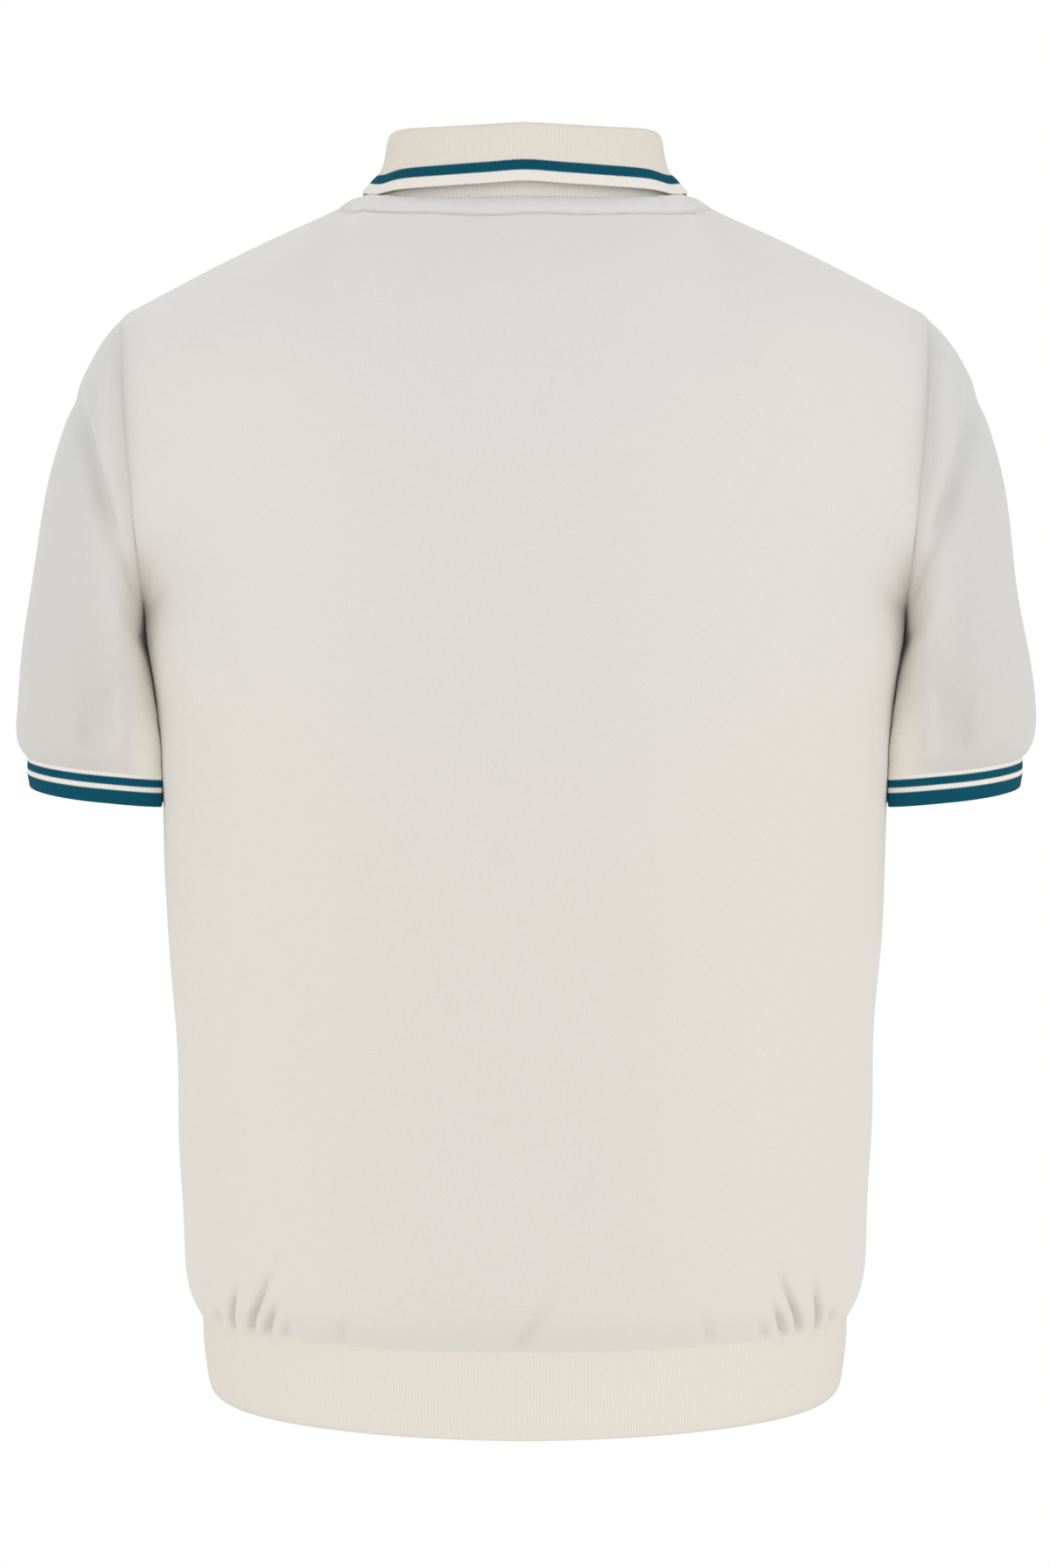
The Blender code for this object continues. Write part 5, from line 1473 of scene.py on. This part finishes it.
# %% Placket bands
PLACKET_PROUD = 0.0008
UPPER_BAND_THICKNESS = 0.0028
UNDER_BAND_DEPTH = 0.0030
UNDER_BAND_THICKNESS = 0.0020
PLACKET_STATIONS = (0.0, 0.02, 0.06, 0.12, 0.25, 0.5, 0.75, 0.88, 0.94, 0.98, 1.0)     # across a band
PLACKET_ROUNDING = 0.002        # the most of its thickness that is rounded at its edges
PLACKET_FOOT_BLUNTNESS = 0.0002
front_walls = normals_of(front_points)


def dress_band(name, node, lift, thickness):
    """One band of the placket, cut from the front panel's net."""
    columns = np.s_[CENTRE - PLACKET_COLUMNS:CENTRE + PLACKET_COLUMNS + 1]
    points = front_points[PLACKET_ROW:, columns]
    walls = front_walls[PLACKET_ROW:, columns]
    stations = np.array(PLACKET_STATIONS) * (points.shape[1] - 1)
    index = np.arange(points.shape[1])
    points = smooth_through(index, points.transpose(1, 0, 2), stations).transpose(1, 0, 2)
    walls = unit(smooth_through(index, walls.transpose(1, 0, 2), stations).transpose(1, 0, 2))
    run = run_along(points[:, points.shape[1] // 2])
    outer = points + lift * walls
    inner = outer - thickness * walls
    from_right, from_left, from_foot, _ = edge_distances(points)
    near = np.minimum(np.minimum(from_right, from_left), from_foot + PLACKET_FOOT_BLUNTNESS)
    outer, inner = rounded(outer, inner, near, min(thickness, PLACKET_ROUNDING))
    piece = lay_cloth(name, outer, inner, points[..., 0], run[:, None] - run[-1], velour)
    dress(piece, node, "velour", flat=(2 * PLACKET_HALF_WIDTH, run[-1]), held="stretched",
          rests_on=["front_velour"])
    return outer, walls, run


upper_points, upper_walls, placket_run = dress_band("placket_upper_velour", "placket_upper", PLACKET_PROUD,
                                                    UPPER_BAND_THICKNESS)
dress_band("placket_under_velour", "placket_under", -UNDER_BAND_DEPTH, UNDER_BAND_THICKNESS)

# %% [markdown]
# ## Buttons
# Shirt buttons are turned from a flat disc: a dished face inside a rounded rim, and four holes. One
# is modelled lying flat, from a cylinder whose face is inset and pushed in, with its holes cut by a
# Boolean modifier. Copies of its mesh are then turned to face out of the placket.

# %% One button
BUTTON_RADIUS = 0.0057
BUTTON_THICKNESS = 0.0026
BUTTON_DROPS = (0.0230, 0.0600, 0.0970)
BUTTON_GAP = 0.0003             # between the button's back and the placket
BUTTON_BEVEL = 0.0006
RIM_SHARE = 0.24                # of the radius that is rim
DISH_SHARE = 0.10               # and that slopes down to the dished face
DISH_DEPTH = 0.28               # of the thickness
HOLE_RADIUS = 0.00075
HOLE_PLACE = 0.0014
FACING = 0.9                    # a face whose normal has this much of a direction faces that way


def choose_faces(piece, chosen):
    """Selects the faces of an object that are chosen, and leaves it in edit mode."""
    bpy.ops.object.mode_set(mode="EDIT")
    bpy.ops.mesh.select_mode(type="FACE")
    bpy.ops.mesh.select_all(action="DESELECT")
    bpy.ops.object.mode_set(mode="OBJECT")
    for face in piece.data.polygons:
        face.select = chosen(face)
    bpy.ops.object.mode_set(mode="EDIT")


def soften_edges(piece, width, segments, degrees):
    """Rounds the edges of an object that are sharper than an angle."""
    bevel = piece.modifiers.new("soft", "BEVEL")
    bevel.width = width
    bevel.segments = segments
    bevel.limit_method = "ANGLE"
    bevel.angle_limit = math.radians(degrees)
    bpy.ops.object.modifier_apply(modifier=bevel.name)


def make_button_material():
    """A smooth shell-like material with clouds of its own."""
    material, shader = plain_material("pearly_button", (0.80, 0.77, 0.70), 0.25)
    tree = material.node_tree
    where = tree.nodes.new("ShaderNodeTexCoord").outputs["Object"]
    pearl = use_group(tree, pile_group, Place=where, Deep=(0.70, 0.66, 0.58), Light=(0.86, 0.84, 0.78),
                      Clouds=260.0, Flecks=700.0, Pile=2000.0)
    link(tree, pearl.outputs["Tone"], shader.inputs["Base Color"])
    shader.inputs["Coat Weight"].default_value = 0.4
    return material


def model_button():
    """A button that lies flat at the origin, its face up."""
    bpy.ops.object.select_all(action="DESELECT")
    bpy.ops.mesh.primitive_cylinder_add(vertices=40, radius=BUTTON_RADIUS, depth=BUTTON_THICKNESS)
    button = bpy.context.object
    choose_faces(button, lambda face: face.normal.z > FACING)
    bpy.ops.mesh.inset(thickness=BUTTON_RADIUS * RIM_SHARE)
    bpy.ops.mesh.inset(thickness=BUTTON_RADIUS * DISH_SHARE)
    bpy.ops.transform.translate(value=(0.0, 0.0, -BUTTON_THICKNESS * DISH_DEPTH))
    bpy.ops.object.mode_set(mode="OBJECT")
    soften_edges(button, BUTTON_BEVEL, segments=3, degrees=40)
    for turn in range(4):
        angle = math.radians(45 + 90 * turn)
        bpy.ops.mesh.primitive_cylinder_add(
            vertices=14, radius=HOLE_RADIUS, depth=3 * BUTTON_THICKNESS,
            location=(HOLE_PLACE * math.cos(angle), HOLE_PLACE * math.sin(angle), 0.0))
        drill = bpy.context.object
        bpy.ops.object.select_all(action="DESELECT")
        button.select_set(True)
        bpy.context.view_layer.objects.active = button
        cut = button.modifiers.new("hole", "BOOLEAN")
        cut.object = drill
        cut.solver = "EXACT"
        bpy.ops.object.modifier_apply(modifier=cut.name)
        bpy.data.objects.remove(drill, do_unlink=True)
    bpy.ops.object.shade_smooth_by_angle(angle=math.radians(35))
    button.data.materials.append(make_button_material())
    return button


pattern_button = model_button()
print("a button has", len(pattern_button.data.polygons), "faces")

# %% Buttons down the placket
def placket_frame(drop):
    """The place on the upper band at a drop from the neck, and the directions there."""
    middle = upper_points.shape[1] // 2
    down = placket_run[-1] - placket_run[::-1]
    line, walls = upper_points[::-1, middle], upper_walls[::-1, middle]
    normal = unit(points_at(drop, down, walls))
    side = unit(np.cross(UP, normal))
    return points_at(drop, down, line), side, unit(np.cross(normal, side)), normal


def to_place(place, side, upright, normal):
    """The matrix that takes something lying flat at the origin to its place."""
    matrix = Matrix.Identity(4)
    for k in range(3):
        matrix[k][0], matrix[k][1], matrix[k][2], matrix[k][3] = side[k], upright[k], normal[k], place[k]
    return matrix


for number, drop in enumerate(BUTTON_DROPS, start=1):
    place, side_way, upright, normal = placket_frame(drop)
    mesh = pattern_button.data.copy()
    mesh.transform(to_place(place + normal * (BUTTON_GAP + BUTTON_THICKNESS / 2), side_way, upright, normal))
    button = bpy.data.objects.new(f"button_{number}_pearly", mesh)
    bpy.context.scene.collection.objects.link(button)
    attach(button, "root")
    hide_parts(f"button_{number}")
bpy.data.objects.remove(pattern_button, do_unlink=True)
print(len(BUTTON_DROPS), "buttons")

# %% [markdown]
# ## Stitches
# Thread shows where cloth is stitched flat: below the roll at the neck, down both sides of the
# placket, round the buttonholes and through the buttons. One stitch is modelled, a short round thread
# whose ends dip into the cloth, and its mesh is copied along each line.

# %% One stitch
THREAD_RADIUS = 0.00019
STITCH_LENGTH = 0.0021
STITCH_PITCH = 0.0027
STITCH_LIFT = 0.00005           # of the thread's middle over the cloth
STITCH_DIP = 0.15               # the share of its length in which each end dips into the cloth
STITCH_SINK = 1.6               # how deep it dips, in thread radii
THREAD_SOFTNESS = 0.4           # how much of the thread's edges is rounded, in thread radii


def model_stitch():
    """A stitch that lies at the origin along X, on cloth that faces up."""
    bpy.ops.object.select_all(action="DESELECT")
    bpy.ops.mesh.primitive_cylinder_add(vertices=8, radius=THREAD_RADIUS,
                                        depth=STITCH_LENGTH * (1.0 - 2 * STITCH_DIP),
                                        rotation=(0.0, math.radians(90), 0.0))
    stitch = bpy.context.object
    bpy.ops.object.transform_apply(location=True, rotation=True, scale=True)
    for way in (-1.0, 1.0):
        choose_faces(stitch, lambda face: face.normal.x * way > FACING)
        dip = (way * STITCH_LENGTH * STITCH_DIP, 0.0, -THREAD_RADIUS * STITCH_SINK)
        bpy.ops.mesh.extrude_region_move(TRANSFORM_OT_translate={"value": dip})
        bpy.ops.object.mode_set(mode="OBJECT")
    soften_edges(stitch, THREAD_RADIUS * THREAD_SOFTNESS, segments=1, degrees=50)
    bpy.ops.object.shade_smooth_by_angle(angle=math.radians(50))
    return stitch


def copy_along(name, pattern, matrices, material):
    """One object made of the pattern's mesh, copied to each place."""
    corners = np.array([vertex.co[:] for vertex in pattern.data.vertices])
    faces = [tuple(face.vertices) for face in pattern.data.polygons]
    points, polygons = [], []
    for count, matrix in enumerate(matrices):
        turned = np.array(matrix)
        points.extend((corners @ turned[:3, :3].T + turned[:3, 3]).tolist())
        polygons.extend(tuple(corner + count * len(corners) for corner in face) for face in faces)
    mesh = bpy.data.meshes.new(name)
    mesh.from_pydata(points, [], polygons)
    mesh.shade_smooth()
    mesh.materials.append(material)
    piece = bpy.data.objects.new(name, mesh)
    bpy.context.scene.collection.objects.link(piece)
    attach(piece, "root")
    print(f"{name}: {len(matrices)} stitches")


def stitch_line(line, walls):
    """The places of stitches along a line on cloth whose outward directions are given."""
    run = run_along(line)
    count = int(run[-1] / STITCH_PITCH)
    middles = (np.arange(count) + 0.5) * run[-1] / count
    places = []
    for middle in middles:
        before, here, after = points_at(middle + STITCH_PITCH / 3 * np.array([-1.0, 0.0, 1.0]), run, line)
        wall = unit(points_at(middle, run, walls))
        ahead = unit(after - before)
        aside = unit(np.cross(wall, ahead))
        places.append(to_place(here + STITCH_LIFT * wall, ahead, aside, unit(np.cross(ahead, aside))))
    return places


pattern_stitch = model_stitch()
thread = plain_material("thread", (0.70, 0.685, 0.63), 0.7)[0]
print("a stitch has", len(pattern_stitch.data.polygons), "faces")

# %% Stitches round the neck and down the placket
NECK_STITCH_END = 3             # columns of the net left free at each end of the neck line
NECK_STITCH_ROWS = 60           # rows below the neck seam in which the line is looked for
PLACKET_STITCH_IN = 0.0022      # from the placket's edge


def neck_line():
    """The stitch line below the back's neck roll, and the outward directions along it."""
    neck = back_points[-1, CENTRE - NECK_CORNER:CENTRE + NECK_CORNER + 1]
    run = run_along(neck)
    walls = normals_of(back_outer, flip=True)
    line, facing = [], []
    for j in range(CENTRE - NECK_CORNER + NECK_STITCH_END, CENTRE + NECK_CORNER - NECK_STITCH_END + 1):
        column = np.s_[-NECK_STITCH_ROWS:, j]
        apart = np.linalg.norm(back_points[column][:, None] - neck[None], axis=2)
        away = apart.min(axis=1) * (1.0 + wander(run[apart.argmin(axis=1)]))
        line.append(points_at(-STITCH_AWAY, -away, back_outer[column]))
        facing.append(points_at(-STITCH_AWAY, -away, walls[column]))
    return np.array(line), unit(np.array(facing))


copy_along("neck_stitches", pattern_stitch, stitch_line(*neck_line()), thread)
down_placket = []
for side in (-1.0, 1.0):
    share = 0.5 + 0.5 * side * (1.0 - PLACKET_STITCH_IN / PLACKET_HALF_WIDTH)
    at = share * (upper_points.shape[1] - 1)
    index = np.arange(upper_points.shape[1])
    across = smooth_through(index, upper_points.transpose(1, 0, 2), np.array([at]))[0]
    walls = smooth_through(index, upper_walls.transpose(1, 0, 2), np.array([at]))[0]
    down_placket += stitch_line(across, walls)
copy_along("placket_stitches", pattern_stitch, down_placket, thread)

# %% Buttonholes and button thread
BUTTONHOLE_LENGTH = 0.0150
BUTTONHOLE_WIDTH = 0.0022
BUTTONHOLE_STITCHES = 40
BUTTONHOLE_LIFT = 0.00008       # of its stitches over the cloth
BUTTONHOLE_SQUARENESS = 2.2     # how soon its round ends turn into straight sides
BUTTONHOLE_FAN = 0.25           # how much its end stitches fan out
SEWING_HEIGHT = 0.76            # the share of a button's thickness at which its thread lies
SEWING_STRANDS = (-0.3, 0.3)    # how far each strand lies from a hole's middle, in hole radii

button_sewing, buttonholes = [], []
for drop in BUTTON_DROPS:
    place, side_way, upright, normal = placket_frame(drop)
    straight = (BUTTONHOLE_LENGTH - BUTTONHOLE_WIDTH) / 2
    for turn in np.linspace(0.0, 2 * math.pi, BUTTONHOLE_STITCHES, endpoint=False):
        x = BUTTONHOLE_WIDTH / 2 * math.cos(turn)
        end = max(-1.0, min(1.0, BUTTONHOLE_SQUARENESS * math.sin(turn)))
        y = BUTTONHOLE_WIDTH / 2 * math.sin(turn) + straight * end
        outwards = unit(math.cos(turn) * side_way + BUTTONHOLE_FAN * math.sin(turn) * upright)
        middle = place + x * side_way + y * upright + BUTTONHOLE_LIFT * normal
        buttonholes.append(to_place(middle, outwards, unit(np.cross(normal, outwards)), normal))
    top = place + normal * (BUTTON_GAP + BUTTON_THICKNESS * SEWING_HEIGHT)
    for way in (-1.0, 1.0):
        middle = top + way * HOLE_PLACE * math.sin(math.radians(45)) * side_way
        for aside in SEWING_STRANDS:
            strand = middle + aside * HOLE_RADIUS * side_way
            button_sewing.append(to_place(strand, upright, -side_way, normal))
copy_along("buttonhole_stitches", pattern_stitch, buttonholes, thread)
copy_along("button_threads", pattern_stitch, button_sewing, thread)
bpy.data.objects.remove(pattern_stitch, do_unlink=True)
